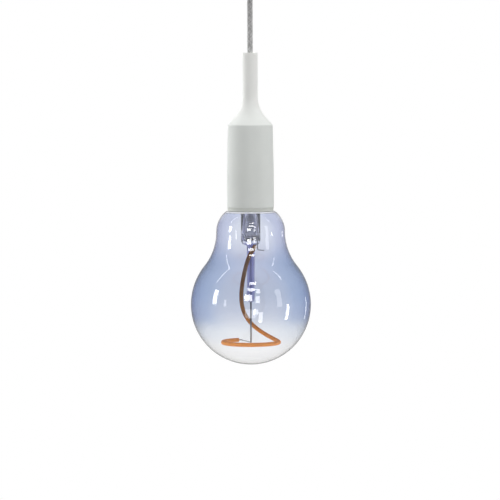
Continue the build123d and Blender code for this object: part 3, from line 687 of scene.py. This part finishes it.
# The lacquer's colour up the bell, where the wall faces the eye, where it slants and at its edge
lacquer_tints = {
    "face": [
        (-412 * mm, "#FFFEFE"),
        (-391 * mm, "#F4F6F9"),
        (-376 * mm, "#E0E4EE"),
        (-352 * mm, "#D5DBE8"),
        (-322 * mm, "#DADDEA"),
        (-300 * mm, "#EAEDF5"),
    ],
    "slant": [
        (-412 * mm, "#FBFBFB"),
        (-391 * mm, "#EEF1F6"),
        (-376 * mm, "#CBD6EA"),
        (-356 * mm, "#C6D4EA"),
        (-326 * mm, "#C8D6EC"),
        (-300 * mm, "#DADFF0"),
    ],
    "edge": [
        (-402 * mm, "#F0F0EE"),
        (-394 * mm, "#DADFE6"),
        (-386 * mm, "#8088A0"),
        (-376 * mm, "#4A4580"),
        (-360 * mm, "#303A93"),
        (-330 * mm, "#1C2856"),
        (-312 * mm, "#3A4484"),
        (-298 * mm, "#9494B8"),
        (-284 * mm, "#9C9CBC"),
        (-279 * mm, "#F6F6FA"),
    ],
}
tints = {}
for way, stops in lacquer_tints.items():
    ramp = add_node(tree, "ShaderNodeValToRGB", {}, {0: share.outputs[0]})
    ramp.color_ramp.interpolation = "EASE"
    marks = ramp.color_ramp.elements
    while len(marks) < len(stops):
        marks.new(0.5)
    for mark, (stop_height, code) in zip(marks, stops):
        mark.position = (stop_height - glass_low.z) / (crown - glass_low.z)
        mark.color = linear(code)
    tints[way] = ramp.outputs[0]
slant = add_node(tree, "ShaderNodeLayerWeight", {}, {"Blend": 0.5})
aside = add_node(
    tree,
    "ShaderNodeMapRange",
    {"interpolation_type": "SMOOTHSTEP"},
    {0: slant.outputs["Facing"], 1: slant_start, 2: slant_full},
)
broad_tint = add_node(
    tree,
    "ShaderNodeMix",
    {"data_type": "RGBA"},
    {0: aside.outputs[0], 6: tints["face"], 7: tints["slant"]},
)
steep = add_node(
    tree, "ShaderNodeMath", {"operation": "POWER"}, {0: slant.outputs["Facing"], 1: edge_power}
)
tint = add_node(
    tree,
    "ShaderNodeMix",
    {"data_type": "RGBA"},
    {0: steep.outputs[0], 6: broad_tint.outputs[2], 7: tints["edge"]},
)
ray = add_node(tree, "ShaderNodeLightPath", {}, {})
lighting = add_node(
    tree,
    "ShaderNodeMath",
    {"operation": "MAXIMUM"},
    {0: ray.outputs["Diffuse Depth"], 1: ray.outputs["Is Shadow Ray"]},
)
inward = add_node(tree, "ShaderNodeMath", {"operation": "MINIMUM"}, {0: lighting.outputs[0], 1: 1.0})
extra_coats = add_node(
    tree,
    "ShaderNodeMapRange",
    {},
    {0: drifted.outputs[0], 1: lacquer_foot, 2: lacquer_full, 4: lacquer_coats},
)
coats = add_node(
    tree,
    "ShaderNodeMath",
    {"operation": "MULTIPLY_ADD"},
    {0: inward.outputs[0], 1: extra_coats.outputs[0], 2: 1.0},
)
deepened = add_node(
    tree, "ShaderNodeVectorMath", {"operation": "POWER"}, {0: tint.outputs[2], 1: coats.outputs[0]}
)
# Painted highlight: a band along the crown's rim is made white and less clear.
painted_rim_share = add_node(
    tree,
    "ShaderNodeMapRange",
    {},
    {0: height, 1: crown - rim_height, 2: crown - rim_height + rim_fade},
)
painted_rim_tint = add_node(
    tree,
    "ShaderNodeMix",
    {"data_type": "RGBA"},
    {0: painted_rim_share.outputs[0], 6: deepened.outputs[0], 7: linear("#F2F4F8")},
)
painted_rim_transmission = add_node(tree, "ShaderNodeMapRange", {}, {0: painted_rim_share.outputs[0], 3: 1.0, 4: painted_rim_clearness})
glass = add_node(
    tree,
    "ShaderNodeBsdfPrincipled",
    {},
    {
        "Base Color": painted_rim_tint.outputs[2],
        "Roughness": 0.0,
        "IOR": 1.5,
        "Transmission Weight": painted_rim_transmission.outputs[0],
    },
)
shade = add_node(tree, "ShaderNodeBsdfTransparent", {}, {"Color": deepened.outputs[0]})
shader = add_node(
    tree,
    "ShaderNodeMixShader",
    {},
    {0: ray.outputs["Is Shadow Ray"], 1: glass.outputs[0], 2: shade.outputs[0]},
)
add_node(tree, "ShaderNodeOutputMaterial", {}, {"Surface": shader.outputs[0]})
blown_bell.data.materials.append(blue_glass)
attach(blown_bell, "bulb")
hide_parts("glass_envelope")


# Stem: lead glass tube, flared onto the neck and pinched flat round the wires. The exhaust tube stands
# inside it on the pinch, swells a little and closes in a dome. A solid rod with a melted drop at its end
# hangs below.
stem_low, stem_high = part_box("glass_stem")
stem_radius = 9.75 * mm
stem_bore = 8.65 * mm
flange_level = stem_high.z - 1.1 * mm
press_top = crown - 23 * mm
press_flat = press_top - 7 * mm
press_bottom = press_flat - 2.3 * mm
hollow_bottom = press_top - 1 * mm
rod_end_rounding = 3.2 * mm
bore_taper = 0.2 * mm
bore_tip = 2 * mm
stem_columns = 64
stem_row = 0.5 * mm

# Half width and half depth of the stem at levels from the rod's melted drop up to the tube
stem_sizes = [
    (stem_low.z + rod_end_rounding, 3.75 * mm, 3.75 * mm),
    (stem_low.z + 9 * mm, 4.1 * mm, 4.0 * mm),
    (stem_low.z + 15 * mm, 3.7 * mm, 3.8 * mm),
    (stem_low.z + 22 * mm, 3.8 * mm, 3.8 * mm),
    (stem_low.z + 40 * mm, 4.0 * mm, 4.0 * mm),
    (press_bottom - 3 * mm, 3.9 * mm, 3.9 * mm),
    (press_bottom, 8.6 * mm, 3.0 * mm),
    (press_flat, 9.6 * mm, 2.8 * mm),
    (press_flat + 3 * mm, 9.7 * mm, 5.2 * mm),
    (press_top, stem_radius, stem_radius),
    (flange_level, stem_radius, stem_radius),
]
exhaust_foot = [
    (hollow_bottom, 5.5 * mm, 5.0 * mm),
    (press_top + 7.1 * mm, 6.2 * mm, 6.2 * mm),
]
exhaust_swell = 30 * mm
exhaust_sweep = radians(26)
exhaust_top = press_top + 29 * mm
exhaust_dome = 3.2 * mm
exhaust_bore = [
    (press_top + 5 * mm, 2.2 * mm, 2.2 * mm),
    (press_top + 15 * mm, 2.4 * mm, 2.4 * mm),
    (press_top + 28 * mm, 2.4 * mm, 2.4 * mm),
]


def oval_ring(half_width, half_depth, height):
    """One oval ring of points round the axis."""
    steps = [tau * i / stem_columns for i in range(stem_columns)]
    return [(half_width * cos(angle), half_depth * sin(angle), height) for angle in steps]


def oval_rings(sizes):
    """Rings up through these levels, which run smoothly from each size to the next."""
    rings = []
    for (low, *low_size), (high, *high_size) in zip(sizes, sizes[1:]):
        count = max(2, round((high - low) / stem_row))
        for i in range(count):
            share = i / count
            eased = share * share * (3 - 2 * share)
            width, depth = (a + (b - a) * eased for a, b in zip(low_size, high_size))
            rings.append(oval_ring(width, depth, low + (high - low) * share))
    top, width, depth = sizes[-1]
    return rings + [oval_ring(width, depth, top)]


rod_radius = stem_sizes[0][1]
rod_end_centre = (rod_radius - rod_end_rounding, stem_low.z + rod_end_rounding)
rod_end = arc(rod_end_centre, rod_end_rounding, -pi / 2, pi / 2)[:-1]
swell_centre = (exhaust_foot[-1][1] - exhaust_swell, exhaust_foot[-1][0])
exhaust = arc(swell_centre, exhaust_swell, 0, exhaust_sweep)[1:]
exhaust += arc((0, exhaust_top), exhaust_dome, 0, pi / 2)[:-1]
stem_rings = [[(0, 0, stem_low.z)]]
stem_rings += turned_rings(rod_end, stem_columns)
stem_rings += oval_rings(stem_sizes)
stem_rings += turned_rings(
    [
        (neck_radius, flange_level),
        (neck_radius, stem_high.z),
        (stem_bore, stem_high.z),
        (stem_bore, press_top),
        (stem_bore - bore_taper, hollow_bottom),
    ],
    stem_columns,
)
stem_rings += oval_rings(exhaust_foot)
stem_rings += turned_rings(exhaust, stem_columns)
stem_rings += [[(0, 0, exhaust_top + exhaust_dome)]]
stem_mesh = lathe("pressed_stem", stem_rings, False)
bore_rings = [[(0, 0, exhaust_bore[0][0] - bore_tip)]]
bore_rings += oval_rings(exhaust_bore)
bore_rings += [[(0, 0, exhaust_bore[-1][0] + bore_tip)]]
bore_mesh = lathe("exhaust_bore", bore_rings, False)
bore_mesh.flip_normals()
stem_work = bmesh.new()
stem_work.from_mesh(stem_mesh)
stem_work.from_mesh(bore_mesh)
stem_work.to_mesh(stem_mesh)
stem_work.free()
pressed_stem = show("pressed_stem", stem_mesh)

# Lead glass is nearly clear, with lumps where the pinch was melted. The exhaust tube is tinted grey, a
# painted shade for the dark cap seen through it, and the rod has a blue-violet cast.
exhaust_limit = 6.5 * mm
lump_size = 3.5 * mm
lump_relief = 1.6 * mm
lumpy_reach = 4 * mm
calm_reach = 12 * mm
calm_share = 0.1
stem_glass = new_material("lead_glass")
tree = stem_glass.node_tree
stem_place = add_node(tree, "ShaderNodeTexCoord", {}, {}).outputs["Object"]
stem_split = add_node(tree, "ShaderNodeSeparateXYZ", {}, {0: stem_place})
stem_flat = add_node(
    tree, "ShaderNodeCombineXYZ", {}, {"X": stem_split.outputs["X"], "Y": stem_split.outputs["Y"]}
)
from_axis = add_node(tree, "ShaderNodeVectorMath", {"operation": "LENGTH"}, {0: stem_flat.outputs[0]})
near_axis = add_node(
    tree,
    "ShaderNodeMath",
    {"operation": "LESS_THAN"},
    {0: from_axis.outputs["Value"], 1: exhaust_limit},
)
above_press = add_node(
    tree,
    "ShaderNodeMath",
    {"operation": "GREATER_THAN"},
    {0: stem_split.outputs["Z"], 1: hollow_bottom},
)
# Painted shade: the exhaust tube's glass is tinted grey.
exhaust_shade_mask = add_node(
    tree, "ShaderNodeMath", {"operation": "MULTIPLY"}, {0: near_axis.outputs[0], 1: above_press.outputs[0]}
)
stem_face_with_shade = add_node(
    tree,
    "ShaderNodeMix",
    {"data_type": "RGBA"},
    {0: exhaust_shade_mask.outputs[0], 6: linear("#F1F2F6"), 7: linear("#A9ABB2")},
)
below_press = add_node(
    tree, "ShaderNodeMath", {"operation": "LESS_THAN"}, {0: stem_split.outputs["Z"], 1: press_bottom}
)
rod_face = add_node(
    tree,
    "ShaderNodeMix",
    {"data_type": "RGBA"},
    {0: below_press.outputs[0], 6: stem_face_with_shade.outputs[2], 7: linear("#8F91C2")},
)
stem_slant = add_node(tree, "ShaderNodeLayerWeight", {}, {"Blend": 0.5})
stem_tint = add_node(
    tree,
    "ShaderNodeMix",
    {"data_type": "RGBA"},
    {0: stem_slant.outputs["Facing"], 6: rod_face.outputs[2], 7: linear("#DED8E6")},
)
from_press = add_node(
    tree, "ShaderNodeMath", {"operation": "SUBTRACT"}, {0: stem_split.outputs["Z"], 1: press_flat}
)
off_press = add_node(tree, "ShaderNodeMath", {"operation": "ABSOLUTE"}, {0: from_press.outputs[0]})
lump_share = add_node(
    tree,
    "ShaderNodeMapRange",
    {},
    {0: off_press.outputs[0], 1: lumpy_reach, 2: calm_reach, 3: 1.0, 4: calm_share},
)
lumps = add_node(
    tree, "ShaderNodeTexNoise", {}, {"Vector": stem_place, "Scale": 1 / lump_size, "Detail": 1.0}
)
lump_bump = add_node(
    tree,
    "ShaderNodeBump",
    {},
    {"Height": lumps.outputs[0], "Distance": lump_relief, "Strength": lump_share.outputs[0]},
)
shader = add_node(
    tree,
    "ShaderNodeBsdfPrincipled",
    {},
    {
        "Base Color": stem_tint.outputs[2],
        "Roughness": 0.0,
        "IOR": 1.56,
        "Transmission Weight": 1.0,
        "Normal": lump_bump.outputs[0],
    },
)
add_node(tree, "ShaderNodeOutputMaterial", {}, {"Surface": shader.outputs[0]})
pressed_stem.data.materials.append(stem_glass)
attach(pressed_stem, "bulb")
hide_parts("glass_stem")


# Wires: drawn nickel, which carry the filament and lead to the driver and the cap's two poles.
# Drawn wire is grey and a little dulled by heat. Inside the rod the centre wire is painted a pale
# blue-white, a painted light that blends it into the light seen through the rod, and just below the
# rod it is darker.
wire_pale = "#8F8D8B"
wire_dark = "#6F6D6C"
wire_patch = 1.5 * mm
wire_roughness = 0.35
nickel_wire = mottled("drawn_nickel", wire_pale, wire_dark, wire_patch, wire_roughness, metallic=1.0)
coat(nickel_wire, "feed_lead", "foot_wire", "filament_tabs", "tip_wire", "shell_wire")
seal_fade = 1 * mm
dark_reach = 28 * mm
dark_fade = 12 * mm
sealed_nickel = new_material("sealed_nickel")
tree = sealed_nickel.node_tree
wire_place = add_node(tree, "ShaderNodeTexCoord", {}, {}).outputs["Object"]
wire_height = add_node(tree, "ShaderNodeSeparateXYZ", {}, {0: wire_place}).outputs["Z"]
# Painted light: the centre wire turns pale blue-white where the rod's glass holds it.
sealed_painted_light_share = add_node(
    tree, "ShaderNodeMapRange", {}, {0: wire_height, 1: stem_low.z, 2: stem_low.z + seal_fade}
)
heat_marks = add_node(
    tree, "ShaderNodeTexNoise", {}, {"Vector": wire_place, "Scale": 1 / wire_patch, "Detail": 4.0}
)
dulled = add_node(
    tree,
    "ShaderNodeMix",
    {"data_type": "RGBA"},
    {0: heat_marks.outputs[0], 6: linear(wire_pale), 7: linear(wire_dark)},
)
# The centre wire turns darker just below the rod.
below_rod_dark_share = add_node(
    tree,
    "ShaderNodeMapRange",
    {},
    {0: wire_height, 1: stem_low.z - dark_reach, 2: stem_low.z - dark_reach + dark_fade},
)
darker_below_rod = add_node(
    tree,
    "ShaderNodeMix",
    {"data_type": "RGBA"},
    {0: below_rod_dark_share.outputs[0], 6: dulled.outputs[2], 7: linear("#3C3C42")},
)
wire_colour = add_node(
    tree,
    "ShaderNodeMix",
    {"data_type": "RGBA"},
    {0: sealed_painted_light_share.outputs[0], 6: darker_below_rod.outputs[2], 7: linear("#C8C8E0")},
)
shader = add_node(
    tree,
    "ShaderNodeBsdfPrincipled",
    {},
    {"Base Color": wire_colour.outputs[2], "Metallic": 1.0, "Roughness": wire_roughness},
)
add_node(tree, "ShaderNodeOutputMaterial", {}, {"Surface": shader.outputs[0]})
coat(sealed_nickel, "centre_wire")


# Filament: a flexible strip of diodes in phosphor-filled silicone, unlit. It winds down round the rod
# as it opens out and ends in a flat ring. The chips swell it a little, one after another, and its two
# ends are rounded.
filament_radius = 2.1 * mm
filament_start = radians(-45)
wind_angle = radians(315)
ring_sweep = radians(245)
wind_radius = 6.25 * mm
ring_radius = 28 * mm
wind_level = crown - 37.5 * mm
ring_level = belly - 37.9 * mm
end_rise = 3.5 * mm
end_share = 0.1
chip_spacing = 1.9 * mm
chip_swell = 0.035
end_rounding = 1.8 * mm
end_flat = 0.35
filament_steps = 900


def filament_point(turned):
    """The filament's centreline after so much turn from its top end.
    It stays close to the rod at first, and opens out quickly near the ring."""
    share = min(turned / wind_angle, 1)
    reach = wind_radius + (ring_radius - wind_radius) * share ** 4 * (5 - 4 * share)
    fall = (1 - cos(pi * share)) / 2
    rise = end_rise * max(1 - share / end_share, 0) ** 2
    angle = filament_start - turned
    height = wind_level + (ring_level - wind_level) * fall + rise
    return Vector((reach * cos(angle), reach * sin(angle), height))


filament_turn = wind_angle + ring_sweep
filament_points = [filament_point(filament_turn * i / filament_steps) for i in range(filament_steps + 1)]
travels = [0.0]
for before, after in zip(filament_points, filament_points[1:]):
    travels.append(travels[-1] + (after - before).length)
filament_swells = []
for travelled in travels:
    ripple = 1 + chip_swell * (cos(tau * travelled / chip_spacing) - 1) / 2
    from_end = min(travelled, travels[-1] - travelled, end_rounding)
    roundness = (1 - (1 - from_end / end_rounding) ** 2) ** 0.5
    filament_swells.append(ripple * max(roundness, end_flat))
filament_line = polyline("filament", filament_points, filament_swells)

# Phosphor-filled silicone is a matt, finely mottled orange. It has a painted glow, painted light that
# evens out its shading, faint in the winding and stronger in the ring, where more light comes in through
# the clear glass.
phosphor_grain = 1.2 * mm
painted_glow_rise = 28 * mm
painted_glow_in_winding = 0.05
painted_glow_in_ring = 0.31
orange_silicone = new_material("orange_phosphor_silicone")
tree = orange_silicone.node_tree
strip_place = add_node(tree, "ShaderNodeTexCoord", {}, {}).outputs["Object"]
phosphor = add_node(
    tree, "ShaderNodeTexNoise", {}, {"Vector": strip_place, "Scale": 1 / phosphor_grain, "Detail": 3.0}
)
strip_colour = add_node(
    tree,
    "ShaderNodeMix",
    {"data_type": "RGBA"},
    {0: phosphor.outputs[0], 6: linear("#B87726"), 7: linear("#B06C1C")},
)
strip_height = add_node(tree, "ShaderNodeSeparateXYZ", {}, {0: strip_place}).outputs["Z"]
# Painted light: an orange emission, weak in the winding and stronger down in the ring.
strip_painted_glow = add_node(
    tree,
    "ShaderNodeMapRange",
    {},
    {
        0: strip_height,
        1: ring_level + painted_glow_rise,
        2: ring_level + painted_glow_rise / 4,
        3: painted_glow_in_winding,
        4: painted_glow_in_ring,
    },
)
shader = add_node(
    tree,
    "ShaderNodeBsdfPrincipled",
    {},
    {
        "Base Color": strip_colour.outputs[2],
        "Roughness": 0.7,
        "Specular IOR Level": 0.15,
        "Emission Color": linear("#FF922C"),
        "Emission Strength": strip_painted_glow.outputs[0],
    },
)
add_node(tree, "ShaderNodeOutputMaterial", {}, {"Surface": shader.outputs[0]})
wound_filament = show(
    "wound_filament",
    grown(
        strand_tree,
        filament_line,
        {
            "Thickness": 2 * filament_radius,
            "Width": 2 * filament_radius,
            "Sides": 16,
            "Copies": 1,
            "Material": orange_silicone,
        },
    ),
)
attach(wound_filament, "bulb")
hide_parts("led_filament")


# Floor: plain and pale, a room's height below the ceiling that the lamp hangs from. Its matt paint is
# white to the eye, seen past the lamp or through the glass, and it keeps a faint shadow.
floor_level = -2.4
floor_radius = 4.0
floor_columns = 64
floor_whiteness = 0.96
first_bounce = 0.5
floor_rings = [[(0, 0, floor_level)]]
floor_rings += turned_rings([(floor_radius, floor_level)], floor_columns)
floor_mesh = lathe("floor", floor_rings, False)
floor = show("floor", floor_mesh)
floor_white = new_material("floor_white")
tree = floor_white.node_tree
path = add_node(tree, "ShaderNodeLightPath", {}, {})
seen = add_node(
    tree,
    "ShaderNodeMath",
    {"operation": "MAXIMUM"},
    {0: path.outputs["Is Camera Ray"], 1: path.outputs["Is Transmission Ray"]},
)
direct = add_node(
    tree, "ShaderNodeMath", {"operation": "LESS_THAN"}, {0: path.outputs["Diffuse Depth"], 1: first_bounce}
)
seen_direct = add_node(
    tree, "ShaderNodeMath", {"operation": "MULTIPLY"}, {0: seen.outputs[0], 1: direct.outputs[0]}
)
seen_share = add_node(
    tree, "ShaderNodeMath", {"operation": "MULTIPLY"}, {0: seen_direct.outputs[0], 1: floor_whiteness}
)
matt = add_node(tree, "ShaderNodeBsdfDiffuse", {}, {"Color": linear("#D2D2D0")})
white = add_node(tree, "ShaderNodeEmission", {}, {"Color": linear("#FFFFFF"), "Strength": 1.0})
both = add_node(
    tree, "ShaderNodeMixShader", {}, {0: seen_share.outputs[0], 1: matt.outputs[0], 2: white.outputs[0]}
)
add_node(tree, "ShaderNodeOutputMaterial", {}, {"Surface": both.outputs[0]})
floor_mesh.materials.append(floor_white)


# Studio light: an even white room, a little brighter above, with soft boxes round the lamp. The room
# that gloss mirrors is half dark in front, darker behind and low down, and bright overhead. What is
# seen through the glass is white, and that backdrop lights what is inside the bulb from its horizon.
room_below = 0.16
room_above = 0.68
mirror_front = 0.45
mirror_behind = 0.15
mirror_low = 0.45
mirror_overhead = 0.95
backdrop_below = 0.3
backdrop_level = 2.4

# Where each change of the room begins and ends, as a share of the way straight back or straight up
front_end, behind_start = -0.06, 0.03
low_end, level_start = -0.75, -0.1
side_end, overhead_start = 0.78, 0.92
below_end, horizon_start = -0.5, 0.15

world = bpy.data.worlds.new("studio")
bpy.context.scene.world = world
world.use_nodes = True
tree = world.node_tree
tree.nodes.clear()
path = add_node(tree, "ShaderNodeLightPath", {}, {})
behind = add_node(
    tree,
    "ShaderNodeMath",
    {"operation": "MAXIMUM"},
    {0: path.outputs["Is Camera Ray"], 1: path.outputs["Is Transmission Ray"]},
)
room_way = add_node(tree, "ShaderNodeTexCoord", {}, {}).outputs["Generated"]
room_split = add_node(tree, "ShaderNodeSeparateXYZ", {}, {0: room_way})
room_back = room_split.outputs["Y"]
room_up = room_split.outputs["Z"]
from_above = add_node(
    tree, "ShaderNodeMapRange", {}, {0: room_up, 1: -1.0, 2: 1.0, 3: room_below, 4: room_above}
)
from_front = add_node(
    tree,
    "ShaderNodeMapRange",
    {},
    {0: room_back, 1: front_end, 2: behind_start, 3: mirror_front, 4: mirror_behind},
)
low_share = add_node(
    tree, "ShaderNodeMapRange", {}, {0: room_up, 1: low_end, 2: level_start, 3: mirror_low, 4: 1.0}
)
mirrored = add_node(
    tree, "ShaderNodeMath", {"operation": "MULTIPLY"}, {0: from_front.outputs[0], 1: low_share.outputs[0]}
)
overhead = add_node(tree, "ShaderNodeMapRange", {}, {0: room_up, 1: side_end, 2: overhead_start})
mirror_light = add_node(
    tree,
    "ShaderNodeMix",
    {"data_type": "FLOAT"},
    {0: overhead.outputs[0], 2: mirrored.outputs[0], 3: mirror_overhead},
)
room = add_node(
    tree, "ShaderNodeBackground", {}, {"Color": linear("#FFFFFF"), "Strength": from_above.outputs[0]}
)
mirror_room = add_node(
    tree, "ShaderNodeBackground", {}, {"Color": linear("#FFFFFF"), "Strength": mirror_light.outputs[0]}
)
inside = add_node(
    tree, "ShaderNodeMath", {"operation": "MINIMUM"}, {0: path.outputs["Diffuse Depth"], 1: 1.0}
)
horizon = add_node(
    tree,
    "ShaderNodeMapRange",
    {},
    {0: room_up, 1: below_end, 2: horizon_start, 3: backdrop_below, 4: backdrop_level},
)
backdrop_light = add_node(
    tree, "ShaderNodeMix", {"data_type": "FLOAT"}, {0: inside.outputs[0], 2: 1.0, 3: horizon.outputs[0]}
)
backdrop = add_node(
    tree, "ShaderNodeBackground", {}, {"Color": linear("#FFFFFF"), "Strength": backdrop_light.outputs[0]}
)
lit = add_node(
    tree,
    "ShaderNodeMixShader",
    {},
    {0: path.outputs["Is Glossy Ray"], 1: room.outputs[0], 2: mirror_room.outputs[0]},
)
all_of_it = add_node(
    tree, "ShaderNodeMixShader", {}, {0: behind.outputs[0], 1: lit.outputs[0], 2: backdrop.outputs[0]}
)
add_node(tree, "ShaderNodeOutputWorld", {}, {"Surface": all_of_it.outputs[0]})


def soft_box(name, azimuth, elevation, width, height, brightness, mirrored=True, distance=1.6):
    """A rectangular light that faces the belly, from an azimuth and elevation in degrees. Azimuth 0 is
    behind the lamp and 90 to its right. Its width and height are degrees too, as the belly sees them.
    A mirrored one shows in gloss only, and the others only light the room."""
    lamp = bpy.data.lights.new(name, "AREA")
    lamp.shape = "RECTANGLE"
    lamp.size = 2 * distance * sin(radians(width / 2))
    lamp.size_y = 2 * distance * sin(radians(height / 2))
    lamp.energy = brightness * pi * lamp.size * lamp.size_y
    box = bpy.data.objects.new(name, lamp)
    bpy.context.scene.collection.objects.link(box)
    flat = cos(radians(elevation))
    way = Vector((sin(radians(azimuth)) * flat, cos(radians(azimuth)) * flat, sin(radians(elevation))))
    box.rotation_euler = way.to_track_quat("Z", "Y").to_euler()
    box.location = Vector((0, 0, belly)) + way * distance
    box.visible_camera = False
    box.visible_transmission = False
    box.visible_glossy = mirrored
    box.visible_diffuse = not mirrored


far_off = 4.0

# Azimuth, elevation, width, height and brightness of the lights, and then of what the glass mirrors
soft_box("top_light", 180, 72, 60, 40, 2.2, mirrored=False)
soft_box("left_rim", -60, 12, 40, 60, 3.6, mirrored=False)
soft_box("right_rim", 85, 12, 40, 60, 1.6, mirrored=False)
soft_box("left_box", -106, 12.6, 9.5, 22, 18, distance=far_off)
soft_box("right_box", 105, -10, 6.5, 24, 18, distance=far_off)
soft_box("left_line", -97, 46, 2.0, 30, 8)
soft_box("right_line", 100, 46, 2.0, 16, 8)
soft_box("right_strip", 49, -6, 2.0, 17, 6)
soft_box("right_haze", 124, 13, 11, 30, 3.2)
soft_box("left_spot", -130, 5, 5, 11, 5)

# A window behind the camera, whose panes shine in the front of the bell, in its crown and its belly
window_panes = [
    (175, 43, 12, 5, 18),
    (179, 31, 14, 6, 18),
    (185, 16, 14, 11, 20),
    (165, 28, 7, 8.5, 9),
    (167, 12.5, 7.5, 12, 9),
    (171, -10, 10, 11, 8),
    (161, -19.5, 8, 20, 8),
]
for pane_number, pane in enumerate(window_panes):
    soft_box(f"window_pane_{pane_number}", *pane)
soft_box("hazy_pane", 181, -13, 20, 17, 4)


# Camera: level with the cord's lower end, a long lens, aimed at the middle of the photograph's frame.
# It stands a little to the left of the lamp's axis and is rolled by a fraction of a degree.
camera_distance = 3.25
eye_level = -0.114
aim_level = -0.314
axis_shift = -0.7 * mm
camera_roll = radians(-0.19)
frame_width = 0.5
sensor_width = 36.0
camera_data = bpy.data.cameras.new("camera")
camera_data.sensor_width = sensor_width
eye = Vector((axis_shift, -camera_distance, eye_level))
aim = Vector((axis_shift, 0, aim_level))
camera_data.lens = sensor_width * (aim - eye).length / frame_width
camera = bpy.data.objects.new("camera", camera_data)
camera.location = eye
level_turn = (aim - eye).to_track_quat("-Z", "Y")
camera.rotation_euler = (level_turn @ Quaternion((0, 0, 1), camera_roll)).to_euler()
bpy.context.scene.collection.objects.link(camera)
bpy.context.scene.camera = camera
bpy.context.scene.view_settings.view_transform = "Standard"
